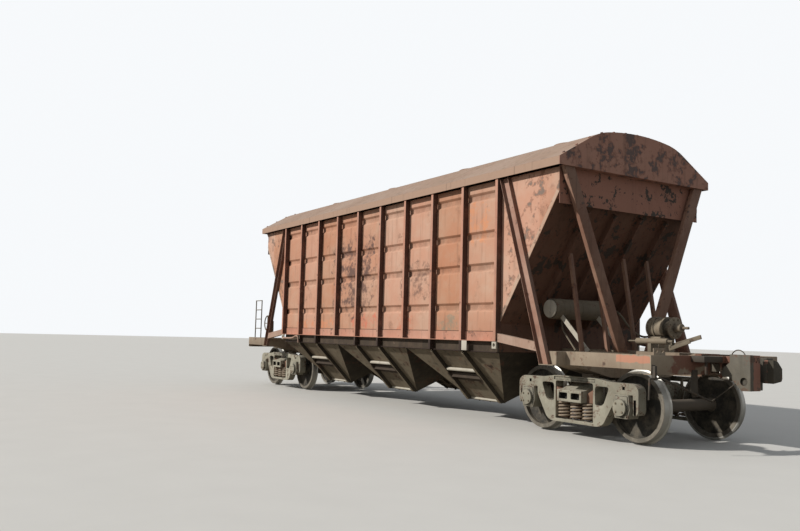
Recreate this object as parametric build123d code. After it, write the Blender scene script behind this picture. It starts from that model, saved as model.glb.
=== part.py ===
"""Covered hopper wagon on two three-piece bogies, in millimetres.

The wagon lies along X with its near end at +X, and Y runs across it. Heights are written from the
rail tops, and every piece is lifted by the flange height when it is saved, so that the origin is on
the floor under the middle of the wagon.
"""

import math
import os

from build123d import *

# Fits: how far a piece stands off its seat or its pin, and how far a cut runs past a face
SEAT_GAP = 0.5
PIN_GAP = 0.3
CUT = 5.0

# Main lengths
PIVOT_X = 5170.0
BEAM_X = 6750.0
PULL_X = 7360.0

# Wheelsets
TREAD_R = 478.5
FLANGE_H = 28.0
FLANGE_T = 32.0
WHEEL_IN_Y = 720.0
RIM_W = 130.0
RIM_T = 62.0
RIM_CHAMFER = 6.0
TREAD_CONE = 4.0
HUB_R = 136.0
HUB_W = 178.0
HUB_PROUD = 10.0
HUB_FILLET = 8.0
WEB_T = 26.0
WEB_SET = 38.0
WEB_DISH = 48.0
AXLE_R = 84.0
SEAT_R = 97.0
JOURNAL_R = 65.0
AXLE_END_Y = 1130.0
WHEELBASE = 1850.0

# Body shell
SHEET_T = 8.0
SHEET_Y = 1500.0
POST_D = 100.0
POST_W = 62.0
POST_T = 8.0
POST_X = 3976.0
POST_COUNT = 10
SILL_LINE_Z = 1300.0
CHORD_H = 147.0
FLANGE_PLATE = 10.0
HOPPER_TOP_Z = 1140.0
EAVE_Z = 3815.0
EAVE_Y = 1618.0
FASCIA_H = 120.0
GROOVE_H = 150.0
GROOVE_LIP = 38.0
GROOVE_D = 35.0
GROOVE_Z = (3605.0, 2980.0, 2465.0, 1835.0)

# Tow eyes and jacking lugs under the posts' feet
EYE_SHIFT = 20.0
EYE_Y = 1560.0
EYE_T = 30.0
EYE_R = 28.0
EYE_W = 100.0
EYE_H = 110.0

# End walls
END_PANEL_X = 5268.0
END_SLOPE_TOP_Z = 3457.0
END_SLOPE_FOOT_Z = 1571.0
FLAP_Z = 3290.0
GABLE_X = 5387.0
RIB_Y = (-855.0, -285.0, 285.0, 855.0)
RIB_W = 60.0
RIB_D = 96.0
RIB_TOP_Z = 3270.0

# Roof arch, from the eave up: a straight slope, a shoulder arc and a flat crown arc
ROOF_T = 8.0
ROOF_PITCH = 30.0
CROWN_PITCH = 9.0
SHOULDER_R = 1077.0
CROWN_HALF = 640.0

# Loading hatches on the roof: the coaming rises above the roof's crown
HATCH_X = (-3976.0, -1325.0, 1325.0, 3976.0)
HATCH_R = 300.0
COAMING_H = 92.6
COAMING_T = 10.0
LID_SKIRT = 32.0
LID_RISE = 44.0
LID_T = 6.0
LID_CLEAR = 6.0
LID_HINGE_Y = 352.0
LID_PIN_R = 11.0
LID_ARM_W = 40.0
LID_ARM_T = 20.0
EAR_X = 150.0
EAR_T = 16.0
EAR_ROOT = 30.0

# Running boards, each plank lifted off the crown under it
NEAR_BOARD_Y = -445.0
FAR_BOARD_Y = 515.0
BOARD_W = 230.0
BOARD_T = 20.0
BOARD_LIFT = 30.0
BOARD_END_X = 5200.0
PLANKS = 3
PLANK_GAP = 10.0
BRACKETS = 9
BRACKET_W = 40.0
BRACKET_IN = 120.0

# Hoppers and their doors
HOPPER_PITCH = 2651.0
HOPPER_HALF_X = 1325.0
OUTLET_HALF_X = 442.0
OUTLET_Y = 650.0
OUTLET_Z = 270.0
SADDLE_Y = 250.0
SADDLE_EDGE_Z = 1235.0
SADDLE_RIDGE_Z = 1480.0
DOOR_TOP_Z = 530.0
RIM_OUT = 40.0
RIM_IN = 50.0
HOPPER_RIB_D = 74.0
BAND_H = 80.0
BAND_OUT = 60.0
DOOR_HALF_X = 372.0
DOOR_T = 10.0
DOOR_RIB_D = 34.0
DOOR_RIB_T = 12.0
DOOR_MARGIN = 42.0
DOOR_DROP = 6.0
DOOR_EAR_X = 332.0
DOOR_EAR_T = 16.0
DOOR_ARM_X = 282.0
DOOR_ARM_W = 26.0
DOOR_ARM_T = 24.0
DOOR_ARM_L = 32.0
DOOR_ARM_SET = 8.0
DOOR_PIN_R = 11.0
DOOR_PIN_L = 30.0
DOOR_PIN_SET = 15.0
DOOR_EAR = ((-26.0, -46.0), (-6.0, -30.0), (3.0, 12.0), (3.0, 60.0), (-26.0, 20.0))

# Struts and beams at the ends
STRUT_W = 180.0
STRUT_D = 70.0
STRUT_T = 9.0
STRUT_HEAD_X = 4106.0
STRUT_FOOT_X = 5050.0
STRUT_FOOT_Z = 1003.0
CORNER_BEAM_H = 128.0
CORNER_BEAM_Z = 1372.0
CORNER_BEAM_FALL = 145.0
END_STRUT_X = 5372.0
END_STRUT_TOP_Y = 1400.0
END_STRUT_FOOT_Y = 300.0
SLOPE_POST_Y = (300.0, 830.0)
SLOPE_POST_W = 55.0
SLOPE_POST_D = 50.0
SLOPE_POST_T = 7.0
SLOPE_POST_FOOT_X = 5095.0
SLOPE_POST_TOP_X = 4800.0
SLOPE_POST_TOP_Z = 2820.0

# Underframe
SILL_Y = 190.0
SILL_TOP_Z = 1215.0
SILL_BOTTOM_Z = 905.0
SILL_T = 12.0
SILL_FOOT = 40.0
SIDE_SILL_Y = 1320.0
SIDE_SILL_TOP_Z = 1193.0
SIDE_SILL_H = 190.0
SIDE_SILL_D = 80.0
BEAM_TOP_Z = 1190.0
BEAM_BOTTOM_Z = 945.0
BEAM_D = 120.0
PLATE_T = 10.0
BOLSTER_IN_X = 200.0
BOLSTER_OUT_X = 260.0
BOLSTER_END_Y = 1500.0
BOLSTER_DROP = 75.0
BOLSTER_FLAT_Y = 620.0
BRACKET_X0 = 4950.0
BRACKET_X1 = 5240.0
CENTRE_PLATE_Z = 801.0
CENTRE_PLATE_R = 150.0
SIDE_BEARING_Y = 762.0
PAD_Z = 808.0
PAD_TOP_Z = 870.0
PAD_HALF_X = 110.0
PAD_HALF_Y = 60.0
MOUTH_Y = 165.0
MOUTH_Z = (960.0, 1175.0)
STRIKER_X = 210.0
STRIKER_Y = 190.0
STRIKER_Z = (1104.0, 1195.0)
SNOUT_X = 333.0
SNOUT_Y = 130.0
CARRIER_X = (140.0, 190.0)
CARRIER_Z = (925.0, 952.0)
CARRIER_ROD_Y = 165.0
CARRIER_ROD_R = 15.0
STEP_BRACKET_Y = (-1213.0, -992.0)
STEP_BRACKET_Z = 1280.0

# Bogie frames
FRAME_Y = 1018.0
FRAME_W = 150.0
FRAME_TOP_Z = 832.0
FRAME_FOOT_Z = 172.0
FRAME_END = 253.0
CHORD_FALL = 34.0
END_FALL = 60.0
COLUMN_X = 408.0
JAW_HALF = 160.0
JAW_FOOT_Z = 385.0
LEG_TAPER = 28.0
LEG_LIP = 12.0
POCKET_D = 60.0
WINDOW_TOP_Z = 728.0
WINDOW_FOOT_Z = 462.0
WINDOW_OUT_X = 672.0
WINDOW_LEAN = 112.0
OPENING_TOP_Z = 760.0
HOLE_Z = 731.0
HOLE_HALF = 22.0
FRAME_BENDS = (0.0, 0.0, 60.0, 60.0, 70.0, 40.0, 20.0, 12.0, 16.0, 16.0, 40.0, 50.0, 60.0, 0.0)
OPENING_BENDS = (16.0, 16.0, 36.0, 36.0)
WINDOW_BENDS = (56.0, 40.0, 70.0, 60.0)

# Springs and bogie bolsters
SPRING_HALF_X = 372.0
SPRING_SEAT_Z = 215.0
SPRING_TOP_Z = 478.0
SPRING_R = 104.0
SPRING_X = (-242.0, 0.0, 242.0)
WEDGE_HALF = 60.0
BOLSTER_W = 480.0
BOLSTER_TOP_Z = 762.0
BOLSTER_FOOT_Z = 422.0
BOLSTER_BELLY_Y = 620.0
BOLSTER_TIP_Y = 1190.0
BOLSTER_END_TOP_Z = 640.0
POCKET_IN = 35.0
POCKET_LIP = 36.0
POCKET_DEEP = 90.0
BOWL_LIP = 22.0
BEARING_L = 120.0
BEARING_HALF = 65.0
BEARING_Z = 802.0

# Axle boxes
BOX_TOP_Z = 648.0
BOX_FOOT_Z = 335.0
BOX_HALF = 150.0
BOX_SHOULDER = 25.0
BOX_FOOT_HALF = 110.0
BOX_IN_Y = 934.0
BOX_OUT_Y = 1140.0
COVER_Y = 1185.0
COVER_R = 110.0
PLATE_SHARE = 0.86

# Brake gear on the bogies
SHOE_CLEAR = 8.0
SHOE_T = 52.0
SHOE_W = 82.0
SHOE_L = 310.0
SHOE_Y = 804.0
BRAKE_BACK = 36.0
BRAKE_HALF = 28.0
BRAKE_T = 60.0
HANGER_HALF = 16.0
LEVER_FOOT_Z = 300.0
LEVER_TOP_Z = 640.0
ROD_R = 20.0

# Couplers, their outlines measured back from the pulling face
HEAD_TOP_Z = 1224.0
HEAD_FOOT_Z = 770.0
HEAD_Y = 218.0
HEAD_CHEEK_T = 60.0
CHEEK = (
    (-390.0, 940.0), (-410.0, 985.0), (-370.0, 1050.0), (-277.0, 1120.0), (-277.0, 1224.0),
    (16.0, 1224.0), (16.0, 770.0), (-110.0, 765.0), (-145.0, 800.0), (-280.0, 930.0),
)
THROAT = (
    (-340.0, -150.0), (-60.0, -200.0), (-70.0, -90.0), (-98.0, -20.0), (-110.0, 70.0), (-30.0, 96.0),
    (20.0, 120.0), (20.0, 250.0), (-200.0, 236.0), (-300.0, 150.0), (-350.0, 70.0),
)
THROAT_Z = (880.0, 1185.0)
TOOTH = (
    (96.0, 868.0), (262.0, 894.0), (282.0, 928.0), (282.0, 1055.0), (190.0, 1147.0), (96.0, 1165.0),
)
TOOTH_X = (-120.0, 128.0)
NECK_CUT = (-360.0, -272.0, -160.0, 260.0, 1099.0, 1300.0)
SHELF = (-250.0, -20.0, -60.0, 90.0, 776.0, 885.0)
WING_X = (-70.0, 16.0)
WING_Y = (-198.0, -12.0)
WING_HOLE = (-95.0, 1135.0, 11.0)
LOCK_HOLE = (-78.0, 884.0, 52.0)
LIFT_RING = (-170.0, 1178.0, 104.0, 7.0)
SHANK_X = 6260.0
SHANK_Z = 1040.0
SHANK_HALF = 55.0
YOKE_L = 60.0
YOKE_HALF = 95.0

# Uncoupling levers, measured across the end beam
LEVER_R = 13.0
LEVER_OUT = 40.0
HANDLE = (-1390.0, 900.0, -1406.0, 640.0)
KNEE = (-1190.0, 908.0)
LOW_END = (-200.0, 596.0)
LINK_END = (-217.0, 850.0)
LINK_R = 8.0
LEVER_LUG = (-1310.0, -1270.0, 880.0, 1060.0)
LEVER_PAD = (-1320.0, -1250.0, 960.0, 1070.0)
LEVER_HANGER = ((-440.0, 1005.0), (-440.0, 655.0), (-530.0, 655.0), (-590.0, 790.0), (-540.0, 1005.0))
LEVER_HANGER_T = 14.0
LEVER_REACH = (-500.0, -470.0, 665.0, 705.0)

# Air reservoir
TANK_X = 4500.0
TANK_Y = -340.0
TANK_Z = 1820.0
TANK_R = 155.0
TANK_L = 1180.0
TANK_END_T = 24.0
TANK_END_IN = 22.0
TANK_LEG_Y = (-760.0, 0.0)
TANK_LEG_W = 60.0
TANK_LEG_D = 40.0
TANK_LEG_T = 6.0
TANK_LEG_DROP = 120.0
TANK_LEG_SINK = 32.0
TANK_LEG_X = 5120.0

# Brake cylinder: each step is where it starts, how long it is and its radius
CYLINDER_X = 5385.0
CYLINDER_Y = 300.0
CYLINDER_Z = 1566.0
CYLINDER_R = 150.0
CYLINDER_STEPS = (
    (0.0, 300.0, 150.0), (17.0, 26.0, 164.0), (117.0, 26.0, 164.0), (277.0, 26.0, 164.0),
    (295.0, 110.0, 105.0), (398.0, 34.0, 158.0), (425.0, 120.0, 62.0), (540.0, 120.0, 20.0),
)
STAND_X = (50.0, 320.0)
STAND_HALF = 110.0
STAND_Z = 1090.0

# Slack adjuster: each step is where it starts, where it ends and its radius
ADJUSTER_Y = -300.0
ADJUSTER_Z = 1366.0
ADJUSTER_STEPS = (
    (5460.0, 5642.0, 12.0), (5640.0, 5812.0, 28.0), (5810.0, 6160.0, 38.0), (6150.0, 6250.0, 20.0),
)
ADJUSTER_LEVERS = (
    (28.0, 6200.0, 1304.0, 6690.0, 1440.0, 56.0), (-28.0, 6215.0, 1266.0, 6560.0, 1376.0, 50.0),
)
ADJUSTER_LEVER_T = 16.0
ADJUSTER_TIE = (6225.0, 6245.0, 12.0, 1276.0)
ADJUSTER_PIN = (6235.0, 44.0, 1306.0, 16.0)
ADJUSTER_STAND = (5840.0, 5900.0, -330.0, -175.0, 1342.0)

# Hand brake at the far end
WHEEL_AT = (-5500.0, -1330.0, 1560.0)
HAND_WHEEL_R = 190.0
HAND_RIM_R = 14.0
SPOKE_HALF = 10.0
SHAFT_L = 150.0
SHAFT_R = 22.0
BRAKE_POST_X = 40.0
BRAKE_POST_Y = (90.0, 150.0)
BRAKE_POST_RISE = 60.0

# Ladder at the far end
LADDER_X = -6400.0
LADDER_Y = -1290.0
LADDER_W = 380.0
LADDER_TOP_Z = 2150.0
LADDER_PITCH = 240.0
RUNGS = 4
RAIL_R = 14.0
RUNG_R = 11.0


def block(x0, x1, y0, y1, z0, z1):
    """A box between two corners."""
    size = Box(x1 - x0, y1 - y0, z1 - z0)
    return Pos((x0 + x1) / 2, (y0 + y1) / 2, (z0 + z1) / 2) * size


def slab_y(points, y0, y1):
    """An outline in X and Z, thick from y0 to y1."""
    return extrude(Plane.XZ.offset(-y0) * Polygon(*points, align=None), y1 - y0, dir=(0, 1, 0))


def slab_x(points, x0, x1):
    """An outline in Y and Z, thick from x0 to x1."""
    return extrude(Plane.YZ.offset(x0) * Polygon(*points, align=None), x1 - x0, dir=(1, 0, 0))


def slab_z(points, z0, z1):
    """An outline in X and Y, thick from z0 to z1."""
    return extrude(Plane.XY.offset(z0) * Polygon(*points, align=None), z1 - z0, dir=(0, 0, 1))


def rod(start, end, radius):
    """A round bar from one point to another."""
    run = Vector(*end) - Vector(*start)
    return extrude(Plane(origin=start, z_dir=run) * Circle(radius), run.length)


def turn_x(x0, x1, y, z, radius):
    """A cylinder along X from x0 to x1."""
    return Pos((x0 + x1) / 2, y, z) * Rot(0, 90, 0) * Cylinder(radius, x1 - x0)


def turn_y(x, y0, y1, z, radius):
    """A cylinder along Y from y0 to y1."""
    return Pos(x, (y0 + y1) / 2, z) * Rot(90, 0, 0) * Cylinder(radius, y1 - y0)


def beam(section, start, end, across):
    """A section drawn with its X along across, run from one point to another."""
    run = Vector(*end) - Vector(*start)
    along = run.normalized()
    side = Vector(*across)
    side = (side - along * side.dot(along)).normalized()
    return extrude(Plane(origin=start, x_dir=side, z_dir=along) * section, run.length, dir=along)


def channel(width, depth, wall):
    """A channel section: its web lies on the X axis and its flanges rise along +Y."""
    half = width / 2
    inner = half - wall
    return Polygon(
        (-half, 0), (half, 0), (half, depth), (inner, depth),
        (inner, wall), (-inner, wall), (-inner, depth), (-half, depth),
        align=None,
    )


def rounded(points, bends):
    """A polygon with its corners bent round, each over a length that its sides leave free."""
    smooth = []
    for n, bend in enumerate(bends):
        here = Vector(*points[n])
        if bend == 0:
            smooth.append((here.X, here.Y))
            continue
        before = Vector(*points[n - 1]) - here
        after = Vector(*points[(n + 1) % len(points)]) - here
        reach = min(bend, 0.45 * before.length, 0.45 * after.length)
        for share in (0.0, 0.25, 0.5, 0.75, 1.0):
            point = here + before.normalized() * reach * (1 - share) ** 2
            point = point + after.normalized() * reach * share ** 2
            smooth.append((point.X, point.Y))
    return smooth


def fuse(*shapes):
    """One shape from many that overlap or touch."""
    whole = shapes[0]
    for shape in shapes[1:]:
        whole = whole + shape
    return whole


def both_sides(shape):
    """A piece and its mirror image across the wagon's centre line."""
    return fuse(shape, mirror(shape, Plane.XZ))


def both_ends(shape):
    """A piece and its mirror image at the far end."""
    return fuse(shape, mirror(shape, Plane.YZ))


def far(shape):
    """The same piece turned half round to the far end."""
    return Rot(0, 0, 180) * shape


def arch_points(inset):
    """Height and half width of the roof arch's three joints, set in by a plate's thickness."""
    pitch = math.radians(ROOF_PITCH)
    crown = math.radians(CROWN_PITCH)
    crown_r = CROWN_HALF / math.sin(crown)
    eave_z = EAVE_Z + FASCIA_H
    shoulder_y = CROWN_HALF + SHOULDER_R * (math.sin(pitch) - math.sin(crown))
    shoulder_z = eave_z + (EAVE_Y - shoulder_y) * math.tan(pitch)
    crown_z = shoulder_z + SHOULDER_R * (math.cos(crown) - math.cos(pitch))
    apex_z = crown_z + crown_r * (1 - math.cos(crown))
    middle = (pitch + crown) / 2
    mid_y = CROWN_HALF + SHOULDER_R * (math.sin(middle) - math.sin(crown))
    mid_z = crown_z - SHOULDER_R * (math.cos(crown) - math.cos(middle))
    return {
        "eave": (EAVE_Y - inset, eave_z - inset * math.tan(pitch / 2)),
        "shoulder": (shoulder_y - inset * math.sin(pitch), shoulder_z - inset * math.cos(pitch)),
        "bend": (mid_y - inset * math.sin(middle), mid_z - inset * math.cos(middle)),
        "crown": (CROWN_HALF - inset * math.sin(crown), crown_z - inset * math.cos(crown)),
        "apex": (0.0, apex_z - inset),
    }


def arch_face(inset, foot_z):
    """The closed end outline of the roof, from a level foot up to the arch."""
    at = arch_points(inset)
    eave, shoulder, bend, crown, apex = (at[k] for k in ("eave", "shoulder", "bend", "crown", "apex"))

    def left(point):
        return (-point[0], point[1])

    edges = [
        Line((-eave[0], foot_z), (eave[0], foot_z)),
        Line((eave[0], foot_z), eave),
        Line(eave, shoulder),
        ThreePointArc(shoulder, bend, crown),
        ThreePointArc(crown, apex, left(crown)),
        ThreePointArc(left(crown), left(bend), left(shoulder)),
        Line(left(shoulder), left(eave)),
        Line(left(eave), (-eave[0], foot_z)),
    ]
    return make_face(edges)


def arch_slab(inset, x0, x1):
    """The roof's end outline as a solid from x0 to x1."""
    return extrude(Plane.YZ.offset(x0) * arch_face(inset, EAVE_Z), x1 - x0, dir=(1, 0, 0))


def roof_z(y):
    """Height of the roof's outer surface at a distance from the centre line."""
    crown_r = CROWN_HALF / math.sin(math.radians(CROWN_PITCH))
    apex_z = arch_points(0)["apex"][1]
    return apex_z - (crown_r - math.sqrt(crown_r ** 2 - y ** 2))


def coaming_top():
    """Height of the hatch coamings' upper edges."""
    return arch_points(0)["apex"][1] + COAMING_H


# Body shell


def side_sheet():
    """The left side sheet: four pressed grooves between the end posts and plain sheets past them."""
    outer = [(SHEET_Y, HOPPER_TOP_Z)]
    inner = [(SHEET_Y - SHEET_T, HOPPER_TOP_Z)]
    for z in sorted(GROOVE_Z):
        for line, y in ((outer, SHEET_Y), (inner, SHEET_Y - SHEET_T)):
            line.append((y, z - GROOVE_H / 2))
            line.append((y - GROOVE_D, z - GROOVE_H / 2 + GROOVE_LIP))
            line.append((y - GROOVE_D, z + GROOVE_H / 2 - GROOVE_LIP))
            line.append((y, z + GROOVE_H / 2))
    outer.append((SHEET_Y, EAVE_Z))
    inner.append((SHEET_Y - SHEET_T, EAVE_Z))
    middle = slab_x(outer + inner[::-1], -POST_X, POST_X)
    end = [
        (POST_X, EAVE_Z), (END_PANEL_X, EAVE_Z), (END_PANEL_X, END_SLOPE_TOP_Z),
        (POST_X, END_SLOPE_FOOT_Z),
    ]
    end_sheet = slab_y(end, SHEET_Y - SHEET_T, SHEET_Y)
    return fuse(middle, both_ends(end_sheet))


def side_posts():
    """The left posts, joined by the flange and the chord plate along their feet."""
    pitch = 2 * POST_X / (POST_COUNT - 1)
    section = channel(POST_W, POST_D, POST_T)
    parts = []
    for n in range(POST_COUNT):
        x = -POST_X + n * pitch
        face_y = SHEET_Y + POST_D
        parts.append(beam(section, (x, face_y, SILL_LINE_Z), (x, face_y, EAVE_Z), (-1, 0, 0)))
    edge = POST_X + POST_W / 2
    flange = block(-edge, edge, SHEET_Y, SHEET_Y + POST_D, SILL_LINE_Z, SILL_LINE_Z + FLANGE_PLATE)
    chord = block(-edge, edge, SHEET_Y, SHEET_Y + FLANGE_PLATE, SILL_LINE_Z, SILL_LINE_Z + CHORD_H)
    return fuse(flange, chord, *parts)


def slope_dir():
    """Unit vector down the end slope, in X and Z."""
    run = Vector(POST_X - END_PANEL_X, 0, END_SLOPE_FOOT_Z - END_SLOPE_TOP_Z)
    return run.normalized()


def end_wall():
    """The near end wall: upright panel with its flap, slope, apron and four ribs under the slope."""
    half_y = SHEET_Y - SHEET_T
    down = slope_dir()
    out = Vector(-down.Z, 0, down.X)
    points = [
        (END_PANEL_X, EAVE_Z), (END_PANEL_X, END_SLOPE_TOP_Z), (POST_X, END_SLOPE_FOOT_Z),
        (POST_X, HOPPER_TOP_Z), (POST_X - SHEET_T, HOPPER_TOP_Z),
        (POST_X - SHEET_T, END_SLOPE_FOOT_Z + SHEET_T / 2),
        (END_PANEL_X - SHEET_T, END_SLOPE_TOP_Z + SHEET_T / 2), (END_PANEL_X - SHEET_T, EAVE_Z),
    ]
    wall = slab_y(points, -half_y, half_y)
    flap = block(END_PANEL_X - SHEET_T, END_PANEL_X, -half_y, half_y, FLAP_Z, END_SLOPE_TOP_Z + SHEET_T)
    top = Vector(END_PANEL_X, 0, END_SLOPE_TOP_Z)
    start = top + down * ((END_SLOPE_TOP_Z - RIB_TOP_Z) / -down.Z) + out * RIB_D
    foot = Vector(POST_X, 0, END_SLOPE_FOOT_Z) + out * RIB_D
    ribs = []
    for y in RIB_Y:
        shift = Vector(0, y, 0)
        section = channel(RIB_W, RIB_D, SHEET_T)
        ribs.append(beam(section, tuple(start + shift), tuple(foot + shift), (0, -1, 0)))
    notch = block(POST_X - 50, POST_X + 50, -SILL_Y, SILL_Y, HOPPER_TOP_Z - 1, SILL_TOP_Z)
    return fuse(wall, flap, *ribs) - notch


def roof():
    """The arched roof with its fascia, four hatch holes and their coamings."""
    skin = arch_slab(0, -GABLE_X, GABLE_X) - arch_slab(ROOF_T, -GABLE_X, GABLE_X)
    low_z = roof_z(HATCH_R + COAMING_T) - ROOF_T
    top_z = coaming_top()
    pin_z = top_z + SEAT_GAP - LID_SKIRT
    root_z = top_z - LID_SKIRT - 2 * LID_CLEAR
    root_y = math.sqrt(HATCH_R ** 2 - EAR_X ** 2) + COAMING_T / 2
    edge_y = LID_HINGE_Y + LID_PIN_R + EAR_T
    for x in HATCH_X:
        ring = Cylinder(HATCH_R + COAMING_T, top_z - low_z)
        hole = Cylinder(HATCH_R, 2 * (top_z - low_z))
        place = Pos(x, 0, (top_z + low_z) / 2)
        skin = skin + place * ring - place * hole
        for side in (-1, 1):
            x0 = x + side * EAR_X - EAR_T / 2
            x1 = x0 + EAR_T
            skin = skin + block(x0, x1, root_y, edge_y, root_z - EAR_ROOT, root_z)
            skin = skin + block(x0, x1, LID_HINGE_Y - EAR_T, edge_y, root_z, pin_z + LID_PIN_R + EAR_T)
    return skin


def gables():
    """A flat plate closing the roof arch at each end, and the sheet back to the end wall."""
    plate = arch_slab(0, GABLE_X, GABLE_X + SHEET_T)
    floor = block(END_PANEL_X, GABLE_X, -SHEET_Y, SHEET_Y, EAVE_Z, EAVE_Z + SHEET_T)
    return both_ends(fuse(plate, floor))


def hatch_lid(x):
    """A dished round lid with a rolled skirt and two hinge arms."""
    skirt_r = HATCH_R + COAMING_T + LID_CLEAR
    seat_z = coaming_top() + SEAT_GAP
    pin_z = seat_z - LID_SKIRT
    profile = Polyline(
        (0, seat_z + LID_RISE), (skirt_r * 0.55, seat_z + LID_RISE * 0.8),
        (skirt_r, seat_z + LID_T), (skirt_r + LID_T, seat_z), (skirt_r + LID_T, pin_z),
        (skirt_r, pin_z), (skirt_r, seat_z), (0, seat_z), close=True,
    )
    dish = revolve(make_face(Plane.XZ * profile), Axis.Z)
    core = Pos(0, 0, pin_z) * Cylinder(skirt_r + LID_T / 3, 4 * LID_SKIRT)
    pin_x = EAR_X - EAR_T / 2 - PIN_GAP
    for side in (-1, 1):
        x0, x1 = sorted((side * (pin_x - 10), side * (pin_x - 10 - LID_ARM_W)))
        arm = block(x0, x1, 0, LID_HINGE_Y, pin_z - 6, pin_z - 6 + LID_ARM_T) - core
        ends = ((side * near, LID_HINGE_Y, pin_z) for near in (pin_x - 10 - LID_ARM_W, pin_x))
        dish = dish + arm + rod(*ends, LID_PIN_R)
    return Pos(x, 0, 0) * dish


def running_boards():
    """Two board walks along the roof, their planks on brackets that follow the crown."""
    walks = []
    plank_w = (BOARD_W - (PLANKS - 1) * PLANK_GAP) / PLANKS
    pitch = 2 * (BOARD_END_X - BRACKET_IN) / (BRACKETS - 1)
    for middle in (NEAR_BOARD_Y, FAR_BOARD_Y):
        parts = []
        for n in range(PLANKS):
            y0 = middle - BOARD_W / 2 + n * (plank_w + PLANK_GAP)
            top = roof_z(y0 + plank_w / 2) + BOARD_LIFT
            parts.append(block(-BOARD_END_X, BOARD_END_X, y0, y0 + plank_w, top - BOARD_T, top))
            y1 = min(y0 + plank_w + PLANK_GAP, middle + BOARD_W / 2)
            for k in range(BRACKETS):
                x = -BOARD_END_X + BRACKET_IN + k * pitch
                parts.append(block(x - BRACKET_W / 2, x + BRACKET_W / 2, y0, y1,
                                   top - BOARD_LIFT - BOARD_T, top - BOARD_T + 2))
        walks.append(fuse(*parts) - arch_slab(-PIN_GAP, -GABLE_X, GABLE_X))
    return Compound(walks)


# Hoppers


def inset(points, wall):
    """A polygon set in by a wall's thickness, its corners listed anticlockwise."""
    corners = [Vector(*point) for point in points]
    moved = []
    for n, corner in enumerate(corners):
        before = (corner - corners[n - 1]).normalized()
        after = (corners[(n + 1) % len(corners)] - corner).normalized()
        bisector = Vector(-before.Y - after.Y, before.X + after.X)
        reach = wall / (1 + before.dot(after))
        moved.append(((corner + bisector * reach).X, (corner + bisector * reach).Y))
    return moved


def funnel_half(wall, top_z):
    """One half of a hopper as a solid up to a height, set in by a wall's thickness."""
    rise = top_z - OUTLET_Z
    across = (SHEET_Y - OUTLET_Y) / (HOPPER_TOP_Z - OUTLET_Z) * rise
    along = (HOPPER_HALF_X - OUTLET_HALF_X) / (HOPPER_TOP_Z - OUTLET_Z) * rise
    side_view = [
        (SADDLE_Y, DOOR_TOP_Z), (OUTLET_Y, OUTLET_Z), (OUTLET_Y + across, top_z), (SADDLE_Y, top_z),
    ]
    front_view = [
        (-OUTLET_HALF_X, OUTLET_Z), (OUTLET_HALF_X, OUTLET_Z),
        (OUTLET_HALF_X + along, top_z), (-OUTLET_HALF_X - along, top_z),
    ]
    if wall > 0:
        side_view = inset(side_view, wall)
        front_view = inset(front_view, wall)
    reach = HOPPER_HALF_X + along
    return slab_x(side_view, -reach, reach) & slab_y(front_view, 0, SHEET_Y + across)


def hopper(centre_x):
    """A hopper under the load space: two halves, their outlet frames, ribs and bands."""
    half = funnel_half(0, HOPPER_TOP_Z)
    shell = half - funnel_half(SHEET_T, HOPPER_TOP_Z + 60)
    run = Vector(0, OUTLET_Y - SADDLE_Y, OUTLET_Z - DOOR_TOP_Z)
    plane = Plane(origin=(0, SADDLE_Y, DOOR_TOP_Z), x_dir=(1, 0, 0), z_dir=run.normalized())
    mouth = Pos(0, 0, run.length / 2) * Box(
        2 * (DOOR_HALF_X - DOOR_EAR_T * 2), 4 * SHEET_T, run.length - 2 * DOOR_MARGIN)
    shell = shell - plane.location * mouth
    down = Vector(0, OUTLET_Y - SHEET_Y, OUTLET_Z - HOPPER_TOP_Z).normalized()
    out = Vector(0, -down.Z, down.Y)
    for side in (-1, 1):
        x = side * OUTLET_HALF_X
        a = Vector(x, SHEET_Y, HOPPER_TOP_Z) + out * (HOPPER_RIB_D - 4)
        b = Vector(x, OUTLET_Y, OUTLET_Z) + out * (HOPPER_RIB_D - 4)
        rib = beam(channel(POST_W, HOPPER_RIB_D, SHEET_T), tuple(a), tuple(b), (1, 0, 0))
        rib = rib & block(x - 200, x + 200, 0, SHEET_Y + POST_D, OUTLET_Z, HOPPER_TOP_Z)
        shell = shell + (rib - half)
    mid = (HOPPER_TOP_Z + OUTLET_Z) / 2
    mid_y = (SHEET_Y + OUTLET_Y) / 2
    band = block(-OUTLET_HALF_X, OUTLET_HALF_X, mid_y - 20, mid_y + BAND_OUT,
                 mid - BAND_H / 2, mid + BAND_H / 2)
    shell = shell + (band - half)
    rim = slab_y([
        (-HOPPER_HALF_X + 2 * PLATE_T, HOPPER_TOP_Z - PLATE_T), (-HOPPER_HALF_X + PLATE_T, HOPPER_TOP_Z),
        (HOPPER_HALF_X - PLATE_T, HOPPER_TOP_Z), (HOPPER_HALF_X - 2 * PLATE_T, HOPPER_TOP_Z - PLATE_T),
    ], SHEET_Y - SHEET_T, SHEET_Y + RIM_OUT)
    shell = shell + rim
    ear = [(SADDLE_Y + y, DOOR_TOP_Z + z) for y, z in DOOR_EAR]
    for side in (-1, 1):
        middle = side * DOOR_EAR_X
        shell = shell + slab_x(ear, middle - DOOR_EAR_T / 2, middle + DOOR_EAR_T / 2)
    return Pos(centre_x, 0, 0) * both_sides(shell)


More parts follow.
